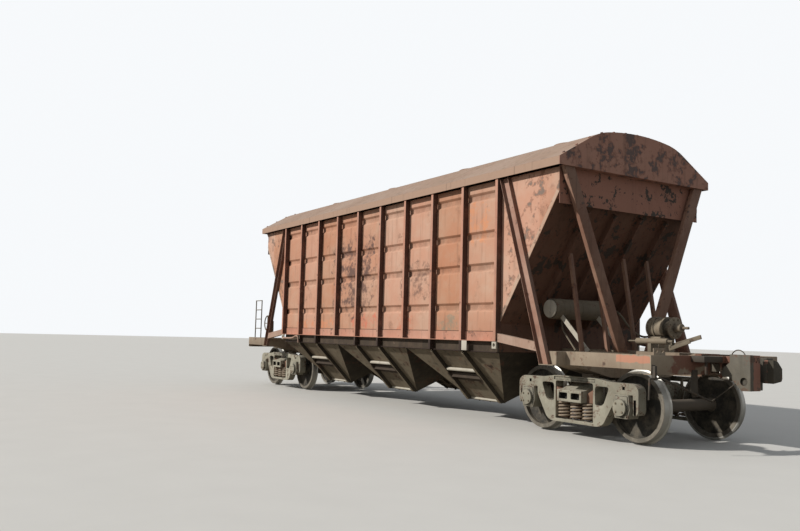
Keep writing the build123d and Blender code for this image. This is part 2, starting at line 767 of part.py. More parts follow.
def discharge_door(centre_x, side):
    """A flat outlet door with a stiff rim and two hinge arms at its upper, inner edge."""
    run = Vector(0, OUTLET_Y - SADDLE_Y, OUTLET_Z - DOOR_TOP_Z)
    length = run.length
    plane = Plane(origin=(0, SADDLE_Y, DOOR_TOP_Z), x_dir=(1, 0, 0), z_dir=run.normalized())
    # The plane's Y axis points away from the hopper, down and inwards.
    sign = 1 if plane.y_dir.Z < 0 else -1
    low = sign * SEAT_GAP
    high = sign * (SEAT_GAP + DOOR_T)
    deep = sign * (SEAT_GAP + DOOR_T + DOOR_RIB_D)
    middle = length / 2 + DOOR_DROP
    rib_y = (high + deep) / 2
    rib_d = abs(deep - high) + 4
    panel = Pos(0, (low + high) / 2, middle) * Box(2 * DOOR_HALF_X, DOOR_T, length - 28)
    cross = Pos(0, rib_y, length / 2) * Box(2 * DOOR_HALF_X - 60, rib_d, DOOR_RIB_T)
    door = panel + cross
    for x in (-DOOR_HALF_X + 70, 0, DOOR_HALF_X - 70):
        door = door + Pos(x, rib_y, middle) * Box(DOOR_RIB_T, rib_d, length - 70)
    pin_end = DOOR_EAR_X - DOOR_EAR_T / 2 - PIN_GAP
    for way in (-1, 1):
        arm = Box(DOOR_ARM_W, DOOR_ARM_T, DOOR_ARM_L)
        pin = turn_x(*sorted((way * (DOOR_ARM_X - DOOR_PIN_L), way * pin_end)), 0, 0, DOOR_PIN_R)
        door = door + Pos(way * DOOR_ARM_X, sign * DOOR_PIN_SET, DOOR_ARM_SET) * arm
        door = door + Pos(0, sign * DOOR_PIN_SET, 0) * pin
    door = Pos(centre_x, 0, 0) * (plane.location * door)
    return door if side > 0 else mirror(door, Plane.XZ)


def sill_saddle():
    """The ridge inside the load space that sheds grain off the centre sill."""
    inner = SADDLE_Y - SHEET_T
    points = [
        (-SADDLE_Y, HOPPER_TOP_Z), (-SADDLE_Y, SADDLE_EDGE_Z), (0, SADDLE_RIDGE_Z),
        (SADDLE_Y, SADDLE_EDGE_Z), (SADDLE_Y, HOPPER_TOP_Z), (inner, HOPPER_TOP_Z),
        (inner, SADDLE_EDGE_Z - 4), (0, SADDLE_RIDGE_Z - SHEET_T - 4),
        (-inner, SADDLE_EDGE_Z - 4), (-inner, HOPPER_TOP_Z),
    ]
    reach = POST_X - SHEET_T
    return slab_x(points, -reach, reach)


# Underframe


def centre_sill():
    """The through sill: two webs under a top plate, with feet turned out."""
    y = SILL_Y
    t = SILL_T
    foot = y + SILL_FOOT
    points = [
        (-y, SILL_TOP_Z), (y, SILL_TOP_Z), (y, SILL_BOTTOM_Z + t), (foot, SILL_BOTTOM_Z + t),
        (foot, SILL_BOTTOM_Z), (y - t, SILL_BOTTOM_Z), (y - t, SILL_TOP_Z - t),
        (-y + t, SILL_TOP_Z - t), (-y + t, SILL_BOTTOM_Z), (-foot, SILL_BOTTOM_Z),
        (-foot, SILL_BOTTOM_Z + t), (-y, SILL_BOTTOM_Z + t),
    ]
    reach = BEAM_X - BEAM_D
    return slab_x(points, -reach, reach)


def body_bolsters():
    """Cross beams over the bogies, their centre plates and side bearings."""
    gap = SILL_Y + SILL_FOOT
    low_z = SILL_BOTTOM_Z - BOLSTER_DROP
    arm = slab_x([
        (gap, low_z), (BOLSTER_FLAT_Y, low_z), (SIDE_SILL_Y, STRUT_FOOT_Z),
        (SIDE_SILL_Y, BEAM_TOP_Z), (gap, BEAM_TOP_Z),
    ], -BOLSTER_IN_X, BOLSTER_OUT_X)
    x0 = BRACKET_X0 - PIVOT_X
    x1 = BRACKET_X1 - PIVOT_X
    ear = block(x0, x1, SIDE_SILL_Y - PLATE_T, BOLSTER_END_Y, STRUT_FOOT_Z - PLATE_T, BEAM_TOP_Z)
    shelf = block(x0, x1, SIDE_SILL_Y, BOLSTER_END_Y + STRUT_D, STRUT_FOOT_Z - PLATE_T, STRUT_FOOT_Z)
    arms = both_sides(fuse(arm, ear, shelf))
    cover = block(-BOLSTER_IN_X, BOLSTER_OUT_X, -gap, gap, low_z, SILL_BOTTOM_Z)
    plate = Pos(0, 0, (low_z + CENTRE_PLATE_Z) / 2) * Cylinder(CENTRE_PLATE_R, low_z - CENTRE_PLATE_Z)
    bearing = both_sides(block(-PAD_HALF_X, PAD_HALF_X, SIDE_BEARING_Y - PAD_HALF_Y,
                               SIDE_BEARING_Y + PAD_HALF_Y, PAD_Z, PAD_TOP_Z))
    return both_ends(Pos(PIVOT_X, 0, 0) * fuse(arms, cover, plate, bearing))


def end_platform():
    """The near end frame: side sills, end beam, striker, carrier and the step brackets."""
    side = slab_x([
        (SIDE_SILL_Y, SIDE_SILL_TOP_Z), (SIDE_SILL_Y - SIDE_SILL_D, SIDE_SILL_TOP_Z),
        (SIDE_SILL_Y - SIDE_SILL_D, SIDE_SILL_TOP_Z - PLATE_T),
        (SIDE_SILL_Y - PLATE_T, SIDE_SILL_TOP_Z - PLATE_T),
        (SIDE_SILL_Y - PLATE_T, SIDE_SILL_TOP_Z - SIDE_SILL_H + PLATE_T),
        (SIDE_SILL_Y - SIDE_SILL_D, SIDE_SILL_TOP_Z - SIDE_SILL_H + PLATE_T),
        (SIDE_SILL_Y - SIDE_SILL_D, SIDE_SILL_TOP_Z - SIDE_SILL_H),
        (SIDE_SILL_Y, SIDE_SILL_TOP_Z - SIDE_SILL_H),
    ], PIVOT_X + BOLSTER_OUT_X, BEAM_X - PLATE_T)
    beam_points = [
        (BEAM_X, BEAM_BOTTOM_Z), (BEAM_X, BEAM_TOP_Z), (BEAM_X - BEAM_D, BEAM_TOP_Z),
        (BEAM_X - BEAM_D, BEAM_TOP_Z - PLATE_T), (BEAM_X - PLATE_T, BEAM_TOP_Z - PLATE_T),
        (BEAM_X - PLATE_T, BEAM_BOTTOM_Z + PLATE_T), (BEAM_X - BEAM_D, BEAM_BOTTOM_Z + PLATE_T),
        (BEAM_X - BEAM_D, BEAM_BOTTOM_Z),
    ]
    end_beam = slab_y(beam_points, -SIDE_SILL_Y, SIDE_SILL_Y)
    end_beam = end_beam - block(BEAM_X - 2 * BEAM_D, BEAM_X + 50, -MOUTH_Y, MOUTH_Y, *MOUTH_Z)
    snout = block(BEAM_X - PLATE_T, BEAM_X + SNOUT_X, -SNOUT_Y, SNOUT_Y, *STRIKER_Z)
    striker = block(BEAM_X - PLATE_T, BEAM_X + STRIKER_X, -STRIKER_Y, STRIKER_Y, *STRIKER_Z)
    carrier = block(BEAM_X + CARRIER_X[0], BEAM_X + CARRIER_X[1], -STRIKER_Y, STRIKER_Y, *CARRIER_Z)
    rod_x = BEAM_X + sum(CARRIER_X) / 2
    hanger = both_sides(rod((rod_x, CARRIER_ROD_Y, CARRIER_Z[0] - 20),
                            (rod_x, CARRIER_ROD_Y, STRIKER_Z[0] + 20), CARRIER_ROD_R))
    step = block(BEAM_X - 60, BEAM_X - 50, *STEP_BRACKET_Y, BEAM_TOP_Z - 2, STEP_BRACKET_Z)
    step = step - turn_x(BEAM_X - 70, BEAM_X - 40, STEP_BRACKET_Y[0] + 55, BEAM_TOP_Z + 52, 18)
    step = step - turn_x(BEAM_X - 70, BEAM_X - 40, STEP_BRACKET_Y[1] - 55, BEAM_TOP_Z + 52, 18)
    return fuse(both_sides(side), end_beam, snout, striker, hanger, carrier, step)


def strut_x(z):
    """The side strut's middle, along the wagon, at a height."""
    share = (EAVE_Z - z) / (EAVE_Z - STRUT_FOOT_Z)
    return STRUT_HEAD_X + share * (STRUT_FOOT_X - STRUT_HEAD_X)


def side_strut():
    """A channel in the side's plane, open outwards, from the end post's head to the bolster."""
    over = 200
    head = (strut_x(EAVE_Z + over), SHEET_Y, EAVE_Z + over)
    foot = (strut_x(STRUT_FOOT_Z - over), SHEET_Y, STRUT_FOOT_Z - over)
    strut = beam(channel(STRUT_W, STRUT_D, STRUT_T), head, foot, (-1, 0, 0))
    return strut & block(0, BEAM_X, 0, EAVE_Y, STRUT_FOOT_Z, EAVE_Z)


def corner_beam():
    """The sloping beam that carries the side's foot down to the side strut."""
    face_y = SHEET_Y + STRUT_D
    post_x = POST_X + POST_W / 2
    start = (post_x - 100, face_y, CORNER_BEAM_Z)
    foot = (STRUT_FOOT_X, face_y, CORNER_BEAM_Z - CORNER_BEAM_FALL)
    run = beam(channel(CORNER_BEAM_H, STRUT_D, STRUT_T), start, foot, (0, 0, 1))
    half = STRUT_W / 2 / math.cos(math.atan2(STRUT_FOOT_X - STRUT_HEAD_X, EAVE_Z - STRUT_FOOT_Z))
    keep = slab_y([
        (post_x, SILL_LINE_Z - 400), (strut_x(SILL_LINE_Z - 400) - half, SILL_LINE_Z - 400),
        (strut_x(SILL_LINE_Z + 300) - half, SILL_LINE_Z + 300), (post_x, SILL_LINE_Z + 300),
    ], SHEET_Y, face_y)
    return run & keep


def end_strut():
    """One leg of the V across the end, from the eave's corner to the bolster beside the sill."""
    head = (END_STRUT_X, -END_STRUT_TOP_Y, EAVE_Z)
    foot = (END_STRUT_X, -END_STRUT_FOOT_Y, BEAM_TOP_Z)
    run = (Vector(*foot) - Vector(*head)).normalized() * 120
    head = tuple(Vector(*head) - run)
    foot = tuple(Vector(*foot) + run)
    strut = beam(channel(STRUT_W, STRUT_D, STRUT_T), head, foot, (0, -1, 0))
    return strut & block(0, BEAM_X, -EAVE_Y, 0, BEAM_TOP_Z, EAVE_Z)


def slope_post(y):
    """A thin post from the bolster up to a rib of the end slope."""
    section = channel(SLOPE_POST_W, SLOPE_POST_D, SLOPE_POST_T)
    post = beam(section, (SLOPE_POST_FOOT_X, y, BEAM_TOP_Z - 30), (SLOPE_POST_TOP_X, y, SLOPE_POST_TOP_Z),
                (0, 1, 0))
    offset = RIB_D / math.sin(math.atan2(END_SLOPE_TOP_Z - END_SLOPE_FOOT_Z, END_PANEL_X - POST_X))
    lean = (END_PANEL_X - POST_X) / (END_SLOPE_TOP_Z - END_SLOPE_FOOT_Z)

    def rib_x(z):
        return POST_X + offset + (z - END_SLOPE_FOOT_Z) * lean

    high = SLOPE_POST_TOP_Z + SLOPE_POST_W
    keep = slab_y([
        (rib_x(BEAM_TOP_Z), BEAM_TOP_Z), (PIVOT_X + BOLSTER_OUT_X, BEAM_TOP_Z),
        (PIVOT_X + BOLSTER_OUT_X, high), (rib_x(high), high),
    ], y - SLOPE_POST_W, y + SLOPE_POST_W)
    return post & keep


# Running gear


def wheelset(axle_x):
    """One revolved solid: an axle with two dished wheels, its axis along Y."""
    rim_in = WHEEL_IN_Y
    rim_out = WHEEL_IN_Y + RIM_W
    rim_r = TREAD_R - RIM_T
    hub_in = WHEEL_IN_Y - HUB_PROUD
    hub_out = hub_in + HUB_W
    web_in = rim_in + WEB_SET
    web_root = web_in - 2 * HUB_PROUD
    half = [
        (hub_in - HUB_PROUD, AXLE_R), (hub_in, HUB_R), (web_root, HUB_R + HUB_FILLET), (web_in, rim_r),
        (rim_in, rim_r), (rim_in, TREAD_R + HUB_FILLET), (rim_in + FLANGE_T / 3, TREAD_R + FLANGE_H),
        (rim_in + FLANGE_T * 2 / 3, TREAD_R + FLANGE_H), (rim_in + FLANGE_T, TREAD_R + TREAD_CONE),
        (rim_out - RIM_CHAMFER, TREAD_R - TREAD_CONE), (rim_out, TREAD_R - TREAD_CONE - RIM_CHAMFER),
        (rim_out, rim_r), (web_in + WEB_T, rim_r), (web_root + WEB_DISH, HUB_R + HUB_FILLET),
        (hub_out, HUB_R - RIM_CHAMFER), (hub_out, SEAT_R), (BOX_IN_Y + HUB_PROUD, JOURNAL_R),
        (AXLE_END_Y, JOURNAL_R), (AXLE_END_Y, 0),
    ]
    path = [(-y, r) for y, r in reversed(half)] + half
    profile = Polyline(*path, close=True)
    return Pos(axle_x, 0, TREAD_R) * revolve(make_face(Plane.YZ * profile), Axis.Y)


def side_frame(pivot_x):
    """A cast side frame: rounded outline, spring opening, two windows, jaws and small holes."""
    jaw = WHEELBASE / 2
    jaw_top = BOX_TOP_Z + SEAT_GAP
    end = jaw + FRAME_END
    leg = jaw + JAW_HALF
    low_top = FRAME_TOP_Z - CHORD_FALL
    half = [
        (0, FRAME_TOP_Z), (COLUMN_X, FRAME_TOP_Z), (WINDOW_OUT_X, low_top), (leg, low_top),
        (end, low_top - END_FALL), (end, JAW_FOOT_Z + END_FALL), (end - LEG_TAPER, JAW_FOOT_Z),
        (leg, JAW_FOOT_Z), (leg, jaw_top), (jaw - JAW_HALF, jaw_top),
        (jaw - JAW_HALF, JAW_FOOT_Z + JAW_HALF), (WINDOW_OUT_X - WINDOW_LEAN, SPRING_SEAT_Z),
        (COLUMN_X + END_FALL, FRAME_FOOT_Z), (0, FRAME_FOOT_Z),
    ]
    whole = half + [(-x, z) for x, z in reversed(half[1:-1])]
    bends = list(FRAME_BENDS) + list(reversed(FRAME_BENDS[1:-1]))
    y0 = FRAME_Y - FRAME_W / 2
    y1 = FRAME_Y + FRAME_W / 2
    cast = slab_y(rounded(whole, bends), y0, y1)
    opening = rounded([
        (-SPRING_HALF_X, SPRING_SEAT_Z), (SPRING_HALF_X, SPRING_SEAT_Z),
        (SPRING_HALF_X, OPENING_TOP_Z), (-SPRING_HALF_X, OPENING_TOP_Z),
    ], OPENING_BENDS)
    cast = cast - slab_y(opening, y0 - CUT, y1 + CUT)
    panel = block(-COLUMN_X, COLUMN_X, y1 - LEG_LIP, y1 + CUT,
                  OPENING_TOP_Z + LEG_LIP, FRAME_TOP_Z - LEG_LIP)
    cast = cast - panel
    window = rounded([
        (COLUMN_X, WINDOW_TOP_Z), (COLUMN_X, WINDOW_FOOT_Z), (WINDOW_OUT_X - WINDOW_LEAN, WINDOW_FOOT_Z),
        (WINDOW_OUT_X, WINDOW_TOP_Z),
    ], WINDOW_BENDS)
    for side in (-1, 1):
        cast = cast - slab_y([(side * x, z) for x, z in window], y0 - CUT, y1 + CUT)
        x = side * jaw
        cast = cast - block(x - HOLE_HALF, x + HOLE_HALF, y0 - CUT, y1 + CUT,
                            HOLE_Z - HOLE_HALF, HOLE_Z + HOLE_HALF)
        x0, x1 = sorted((side * (leg + LEG_LIP), side * (end - LEG_TAPER - LEG_LIP)))
        cast = cast - block(x0, x1, y1 - POCKET_D, y1 + CUT, JAW_FOOT_Z - CUT, jaw_top - END_FALL)
    return Pos(pivot_x, 0, 0) * both_sides(cast)


def bogie_bolster(pivot_x):
    """The bolster: deep in the middle, low pocketed ends, the centre bowl and side bearings."""
    half = BOLSTER_W / 2
    low = SPRING_TOP_Z + SEAT_GAP
    core = slab_x([
        (0, BOLSTER_TOP_Z - PLATE_T), (SIDE_BEARING_Y + BEARING_HALF, BOLSTER_TOP_Z - PLATE_T),
        (FRAME_Y + FRAME_W / 2, BOLSTER_END_TOP_Z + PLATE_T), (BOLSTER_TIP_Y, BOLSTER_END_TOP_Z),
        (BOLSTER_TIP_Y, low), (SIDE_BEARING_Y + BEARING_HALF, low), (BOLSTER_BELLY_Y, BOLSTER_FOOT_Z),
        (0, BOLSTER_FOOT_Z),
    ], -half, half)
    for side in (-1, 1):
        pocket = rounded([
            (side * POCKET_IN, low + POCKET_LIP), (side * (half - POCKET_LIP), low + POCKET_LIP),
            (side * (half - POCKET_LIP), BOLSTER_END_TOP_Z - POCKET_LIP),
            (side * POCKET_IN, BOLSTER_END_TOP_Z - POCKET_LIP),
        ], [20, 20, 20, 20])
        core = core - slab_y(pocket, BOLSTER_TIP_Y - POCKET_DEEP, BOLSTER_TIP_Y + CUT)
    core = both_sides(core)
    bowl_top = CENTRE_PLATE_Z - SEAT_GAP
    bowl_foot = BOLSTER_TOP_Z - 2 * PLATE_T
    bowl = Pos(0, 0, (bowl_foot + bowl_top) / 2) * Cylinder(CENTRE_PLATE_R + BOWL_LIP, bowl_top - bowl_foot)
    bearing = both_sides(block(
        -BEARING_L, BEARING_L, SIDE_BEARING_Y - BEARING_HALF, SIDE_BEARING_Y + BEARING_HALF,
        bowl_foot, BEARING_Z))
    return Pos(pivot_x, 0, 0) * fuse(core, bowl, bearing)


def bogie_springs(pivot_x):
    """Three spring columns a side, and a friction wedge at each side of the bolster's ends."""
    parts = []
    height = SPRING_TOP_Z - SPRING_SEAT_Z
    for x in SPRING_X:
        parts.append(Pos(pivot_x + x, FRAME_Y, SPRING_SEAT_Z + height / 2) * Cylinder(SPRING_R, height))
    wedge_in = BOLSTER_W / 2 + PIN_GAP
    wedge_out = SPRING_HALF_X - PIN_GAP
    wedge_z = SPRING_TOP_Z + PIN_GAP
    for side in (-1, 1):
        wedge = slab_y([
            (side * wedge_in, BOLSTER_END_TOP_Z - POCKET_LIP),
            (side * wedge_out, BOLSTER_END_TOP_Z + POCKET_LIP),
            (side * wedge_out, wedge_z), (side * wedge_in, wedge_z),
        ], FRAME_Y - WEDGE_HALF, FRAME_Y + WEDGE_HALF)
        parts.append(Pos(pivot_x, 0, 0) * wedge)
    shapes = parts + [mirror(p, Plane.XZ) for p in parts]
    return Compound(shapes)


def axle_boxes(pivot_x):
    """Four six-sided bearing boxes with front plates and round covers, bored for the journals."""
    shapes = []
    outline = [
        (BOX_HALF - BOX_SHOULDER, BOX_TOP_Z), (BOX_HALF, TREAD_R - BOX_SHOULDER),
        (BOX_FOOT_HALF, BOX_FOOT_Z),
    ]
    ring = outline + [(-x, z) for x, z in reversed(outline)]
    small = [(x * PLATE_SHARE, TREAD_R + (z - TREAD_R) * PLATE_SHARE) for x, z in ring]
    box = slab_y(ring, BOX_IN_Y, BOX_OUT_Y) + slab_y(small, BOX_OUT_Y - CUT, BOX_OUT_Y + PLATE_T)
    box = box + turn_y(0, BOX_OUT_Y - CUT, COVER_Y, TREAD_R, COVER_R)
    box = box - turn_y(0, BOX_IN_Y - CUT, AXLE_END_Y + CUT, TREAD_R, JOURNAL_R + SEAT_GAP)
    box = box - turn_y(0, BOX_IN_Y - CUT, BOX_IN_Y + BOWL_LIP, TREAD_R, JOURNAL_R + BOWL_LIP)
    for side_x in (-1, 1):
        placed = Pos(pivot_x + side_x * WHEELBASE / 2, 0, 0) * box
        shapes.append(placed)
        shapes.append(mirror(placed, Plane.XZ))
    return Compound(shapes)


def brake_shoe(side_x):
    """A curved shoe on the inner side of a wheel of the near axle or the far one."""
    axle = side_x * WHEELBASE / 2
    inner_r = TREAD_R + TREAD_CONE + SHOE_CLEAR
    ring = Cylinder(inner_r + SHOE_T, SHOE_W) - Cylinder(inner_r, SHOE_W + CUT)
    wedge = Pos(-side_x * (inner_r + SHOE_T / 2), 0, 0) * Box(3 * SHOE_T, SHOE_L, SHOE_W + CUT)
    shoe = ring & wedge
    return Pos(axle, SHOE_Y, TREAD_R) * Rot(90, 0, 0) * shoe


def brake_gear(pivot_x):
    """Brake beams with their shoes, hangers, levers and the rod between the levers."""
    parts = []
    frame_in = FRAME_Y - FRAME_W / 2
    beam_x = WHEELBASE / 2 - TREAD_R - TREAD_CONE - SHOE_CLEAR - SHOE_T - BRAKE_BACK
    hang_z = (FRAME_TOP_Z + OPENING_TOP_Z) / 2
    tie_z = TREAD_R - BRAKE_T
    for side_x in (-1, 1):
        x = side_x * beam_x
        x0, x1 = sorted((x, x + side_x * (BRAKE_BACK + SHOE_T / 2)))
        tie = block(x - BRAKE_HALF, x + BRAKE_HALF, -SHOE_Y, SHOE_Y, tie_z - BRAKE_T, tie_z)
        lever = block(x - BRAKE_HALF, x + BRAKE_HALF, -HANGER_HALF, HANGER_HALF, LEVER_FOOT_Z, LEVER_TOP_Z)
        head = block(x0, x1, SHOE_Y - BRAKE_HALF, SHOE_Y + BRAKE_HALF, tie_z - BRAKE_T, TREAD_R + BRAKE_T)
        hanger = block(x - HANGER_HALF, x + HANGER_HALF, SHOE_Y - HANGER_HALF, SHOE_Y + HANGER_HALF,
                       tie_z, hang_z + HANGER_HALF)
        pin = rod((x, SHOE_Y, hang_z), (x, frame_in, hang_z), HANGER_HALF)
        parts += [tie, lever]
        for part in (head, hanger, pin, brake_shoe(side_x)):
            parts.append(part)
            parts.append(mirror(part, Plane.XZ))
    link_z = LEVER_FOOT_Z + BRAKE_HALF
    link = rod((-beam_x, 0, link_z), (beam_x, 0, link_z), ROD_R)
    return Pos(pivot_x, 0, 0) * fuse(link, *parts)


# Couplers and end fittings


def coupler():
    """The near automatic coupler: big tooth with its cheek plate, small tooth, ring and shank."""
    face = PULL_X
    cheek = slab_y([(face + x, z) for x, z in CHEEK], -HEAD_Y, -HEAD_Y + HEAD_CHEEK_T)
    wing = block(face + WING_X[0], face + WING_X[1], *WING_Y, HEAD_FOOT_Z, HEAD_TOP_Z - 4)
    hole_y, hole_z, hole_r = WING_HOLE
    wing = wing - turn_x(face, face + WING_X[1] + CUT, hole_y, hole_z, hole_r)
    throat = slab_z([(face + x, y) for x, y in THROAT], *THROAT_Z)
    x0, x1, y0, y1, z0, z1 = NECK_CUT
    throat = throat - block(face + x0, face + x1, y0, y1, z0, z1)
    tooth = slab_x(TOOTH, face + TOOTH_X[0], face + TOOTH_X[1])
    x0, x1, y0, y1, z0, z1 = SHELF
    shelf = block(face + x0, face + x1, y0, y1, z0, z1)
    shank = block(SHANK_X, face - 300, -SHANK_HALF, SHANK_HALF, SHANK_Z - SHANK_HALF, SHANK_Z + SHANK_HALF)
    reach = SILL_Y - SILL_T - PIN_GAP
    yoke = block(SHANK_X, SHANK_X + YOKE_L, -reach, reach, SHANK_Z - YOKE_HALF, SHANK_Z + YOKE_HALF)
    x, z, radius = LOCK_HOLE
    lock = turn_y(face + x, -HEAD_Y - CUT, -HEAD_Y + HEAD_CHEEK_T / 2, z, radius)
    head = fuse(throat, tooth, shelf, cheek, wing) - lock
    x, z, radius, wire = LIFT_RING
    ring = Pos(face + x, -HEAD_Y + HEAD_CHEEK_T / 2, z) * Rot(90, 0, 0) * Torus(radius, wire)
    ring = ring & block(face + x - 2 * radius, face + x + 2 * radius, -HEAD_Y, 0, z + 16, z + 2 * radius)
    return fuse(head, shank, yoke, ring)


def uncoupling_gear():
    """The near uncoupling lever: a sloping bar on two brackets, its hanging handle and its link."""
    x = BEAM_X + LEVER_OUT
    knee = (x, *KNEE)
    low = (x, *LOW_END)
    y0, z0, y1, z1 = HANDLE
    bar = rod(knee, low, LEVER_R)
    top = rod((x, y0, z0), knee, LEVER_R)
    handle = rod((x, y0, z0 + LEVER_R / 2), (x, y1, z1), LEVER_R)
    lug = block(BEAM_X, x + LEVER_R, *LEVER_LUG)
    pad = block(BEAM_X, BEAM_X + PLATE_T, *LEVER_PAD)
    hanger = slab_x(LEVER_HANGER, BEAM_X, BEAM_X + LEVER_HANGER_T)
    reach = block(BEAM_X, x + LEVER_R, *LEVER_REACH)
    link = rod(low, (PULL_X + LINK_END[0], -HEAD_Y + HEAD_CHEEK_T / 2, LINK_END[1]), LINK_R)
    elbow = Pos(*low) * Sphere(LEVER_R + 3)
    return fuse(bar, top, handle, lug, pad, hanger, reach, link, elbow)


def air_reservoir():
    """The transverse air tank under the end slope, with its two bracket legs."""
    half = TANK_L / 2
    tank = turn_y(TANK_X, TANK_Y - half, TANK_Y + half, TANK_Z, TANK_R)
    tank = tank + turn_y(TANK_X, TANK_Y - half - TANK_END_T, TANK_Y + half + TANK_END_T, TANK_Z,
                         TANK_R - TANK_END_IN)
    section = channel(TANK_LEG_W, TANK_LEG_D, TANK_LEG_T)
    legs = []
    for y, seat_z in zip(TANK_LEG_Y, (BEAM_TOP_Z, SILL_TOP_Z)):
        start = (TANK_X + TANK_LEG_W, y, TANK_Z - TANK_LEG_DROP)
        leg = beam(section, start, (TANK_LEG_X, y, BEAM_TOP_Z - TANK_LEG_SINK), (0, 1, 0))
        legs.append(leg & block(TANK_X, PIVOT_X, y - TANK_LEG_W, y + TANK_LEG_W, seat_z, TANK_Z))
    return fuse(tank, *legs)


def brake_cylinder():
    """The brake cylinder with its flanges and front head, on a bracket over the near platform."""
    steps = []
    for start, length, radius in CYLINDER_STEPS:
        x = CYLINDER_X + start
        steps.append(turn_x(x, x + length, CYLINDER_Y, CYLINDER_Z, radius))
    x0 = CYLINDER_X + STAND_X[0]
    x1 = CYLINDER_X + STAND_X[1]
    stand = block(x0, x1, SILL_Y, CYLINDER_Y + STAND_HALF, STAND_Z, CYLINDER_Z - CYLINDER_R + 20)
    return fuse(*steps, stand)


def slack_adjuster():
    """The slack adjuster's tube, sleeve and rod, and two long levers, over the near platform."""
    y = ADJUSTER_Y
    z = ADJUSTER_Z
    parts = [turn_x(start, end, y, z, radius) for start, end, radius in ADJUSTER_STEPS]
    for shift, x0, z0, x1, z1, height in ADJUSTER_LEVERS:
        section = Rectangle(ADJUSTER_LEVER_T, height)
        parts.append(beam(section, (x0, y + shift, z0), (x1, y + shift, z1), (0, 1, 0)))
    x0, x1, half, low = ADJUSTER_TIE
    parts.append(block(x0, x1, y - half, y + half, low, z))
    x, half, low, radius = ADJUSTER_PIN
    parts.append(turn_y(x, y - half, y + half, low, radius))
    x0, x1, y0, y1, top = ADJUSTER_STAND
    parts.append(block(x0, x1, y0, y1, SILL_TOP_Z, top))
    return fuse(*parts)


def hand_brake():
    """The hand brake's wheel and stand at the far end."""
    x, y, z = WHEEL_AT
    half = SPOKE_HALF
    ring = Pos(x, y, z) * Rot(90, 0, 0) * Torus(HAND_WHEEL_R, HAND_RIM_R)
    spoke = block(x - half, x + half, y - half, y + half, z - HAND_WHEEL_R, z + HAND_WHEEL_R)
    cross = block(x - HAND_WHEEL_R, x + HAND_WHEEL_R, y - half, y + half, z - half, z + half)
    shaft = rod((x, y, z), (x, y + SHAFT_L, z), SHAFT_R)
    stand = block(x - BRAKE_POST_X, x + BRAKE_POST_X, y + BRAKE_POST_Y[0], y + BRAKE_POST_Y[1],
                  BEAM_TOP_Z, z + BRAKE_POST_RISE)
    return fuse(ring, spoke, cross, shaft, stand)


def ladder():
    """The far end's ladder by the side sill: two rails and the rungs between them."""
    x = LADDER_X
    y = LADDER_Y
    bars = [rod((at, y, SIDE_SILL_TOP_Z), (at, y, LADDER_TOP_Z + RUNG_R), RAIL_R) for at in (x, x + LADDER_W)]
    for n in range(RUNGS):
        z = LADDER_TOP_Z - n * LADDER_PITCH
        bars.append(rod((x, y, z), (x + LADDER_W, y, z), RUNG_R))
    return fuse(*bars)


def tow_lugs():
    """A holed tow eye and a jacking lug under the chord on each side, at each end."""
    pitch = 2 * POST_X / (POST_COUNT - 1)
    x = POST_X - EYE_SHIFT
    eye = block(x - EYE_W / 2, x + EYE_W / 2, EYE_Y, EYE_Y + EYE_T, SILL_LINE_Z - EYE_H, SILL_LINE_Z)
    eye = eye - turn_y(x, EYE_Y - EYE_T, EYE_Y + 2 * EYE_T, SILL_LINE_Z - EYE_H / 2, EYE_R)
    lug_x = POST_X - pitch
    lug = block(lug_x - EYE_T, lug_x + EYE_T, EYE_Y, EYE_Y + EYE_T, SILL_LINE_Z - EYE_H * 0.8, SILL_LINE_Z)
    shapes = []
    for piece in (eye, lug):
        for shape in (piece, mirror(piece, Plane.YZ)):
            shapes.append(shape)
            shapes.append(mirror(shape, Plane.XZ))
    return Compound(shapes)


nodes = {
    "centre_sill": centre_sill(),
    "sill_saddle": sill_saddle(),
    "body_bolsters": body_bolsters(),
    "end_platform_near": end_platform(),
    "end_platform_far": far(end_platform()),
    "side_sheets_left": side_sheet(),
    "side_sheets_right": mirror(side_sheet(), Plane.XZ),
    "side_posts_left": side_posts(),
    "side_posts_right": mirror(side_posts(), Plane.XZ),
    "end_wall_near": end_wall(),
    "end_wall_far": far(end_wall()),
    "gables": gables(),
    "roof": roof(),
    "running_boards": running_boards(),
    "side_struts": both_ends(both_sides(side_strut())),
    "corner_beams": both_ends(both_sides(corner_beam())),
    "end_struts": both_ends(both_sides(end_strut())),
    "slope_posts": both_ends(both_sides(fuse(*(slope_post(y) for y in SLOPE_POST_Y)))),
    "coupler_near": coupler(),
    "coupler_far": far(coupler()),
    "uncoupling_gear_near": uncoupling_gear(),
    "uncoupling_gear_far": far(uncoupling_gear()),
    "air_reservoir": air_reservoir(),
    "brake_cylinder": brake_cylinder(),
    "slack_adjuster": slack_adjuster(),
    "hand_brake": hand_brake(),
    "ladder": ladder(),
    "tow_lugs": tow_lugs(),
}

for name, number in (("near", 1), ("middle", 0), ("far", -1)):
    nodes[f"hopper_{name}"] = hopper(number * HOPPER_PITCH)
    for side_name, side in (("left", 1), ("right", -1)):
        nodes[f"door_{name}_{side_name}"] = discharge_door(number * HOPPER_PITCH, side)

for number, x in enumerate(sorted(HATCH_X, reverse=True), start=1):
    nodes[f"hatch_lid_{number}"] = hatch_lid(x)

for name, pivot_x in (("near", PIVOT_X), ("far", -PIVOT_X)):
    nodes[f"bogie_bolster_{name}"] = bogie_bolster(pivot_x)
    nodes[f"side_frames_{name}"] = side_frame(pivot_x)
    nodes[f"springs_{name}"] = bogie_springs(pivot_x)
    nodes[f"axle_boxes_{name}"] = axle_boxes(pivot_x)
    nodes[f"brake_gear_{name}"] = brake_gear(pivot_x)
    for place, side_x in (("outer", 1), ("inner", -1)):
        sign = 1 if pivot_x > 0 else -1
        nodes[f"wheelset_{name}_{place}"] = wheelset(pivot_x + sign * side_x * WHEELBASE / 2)

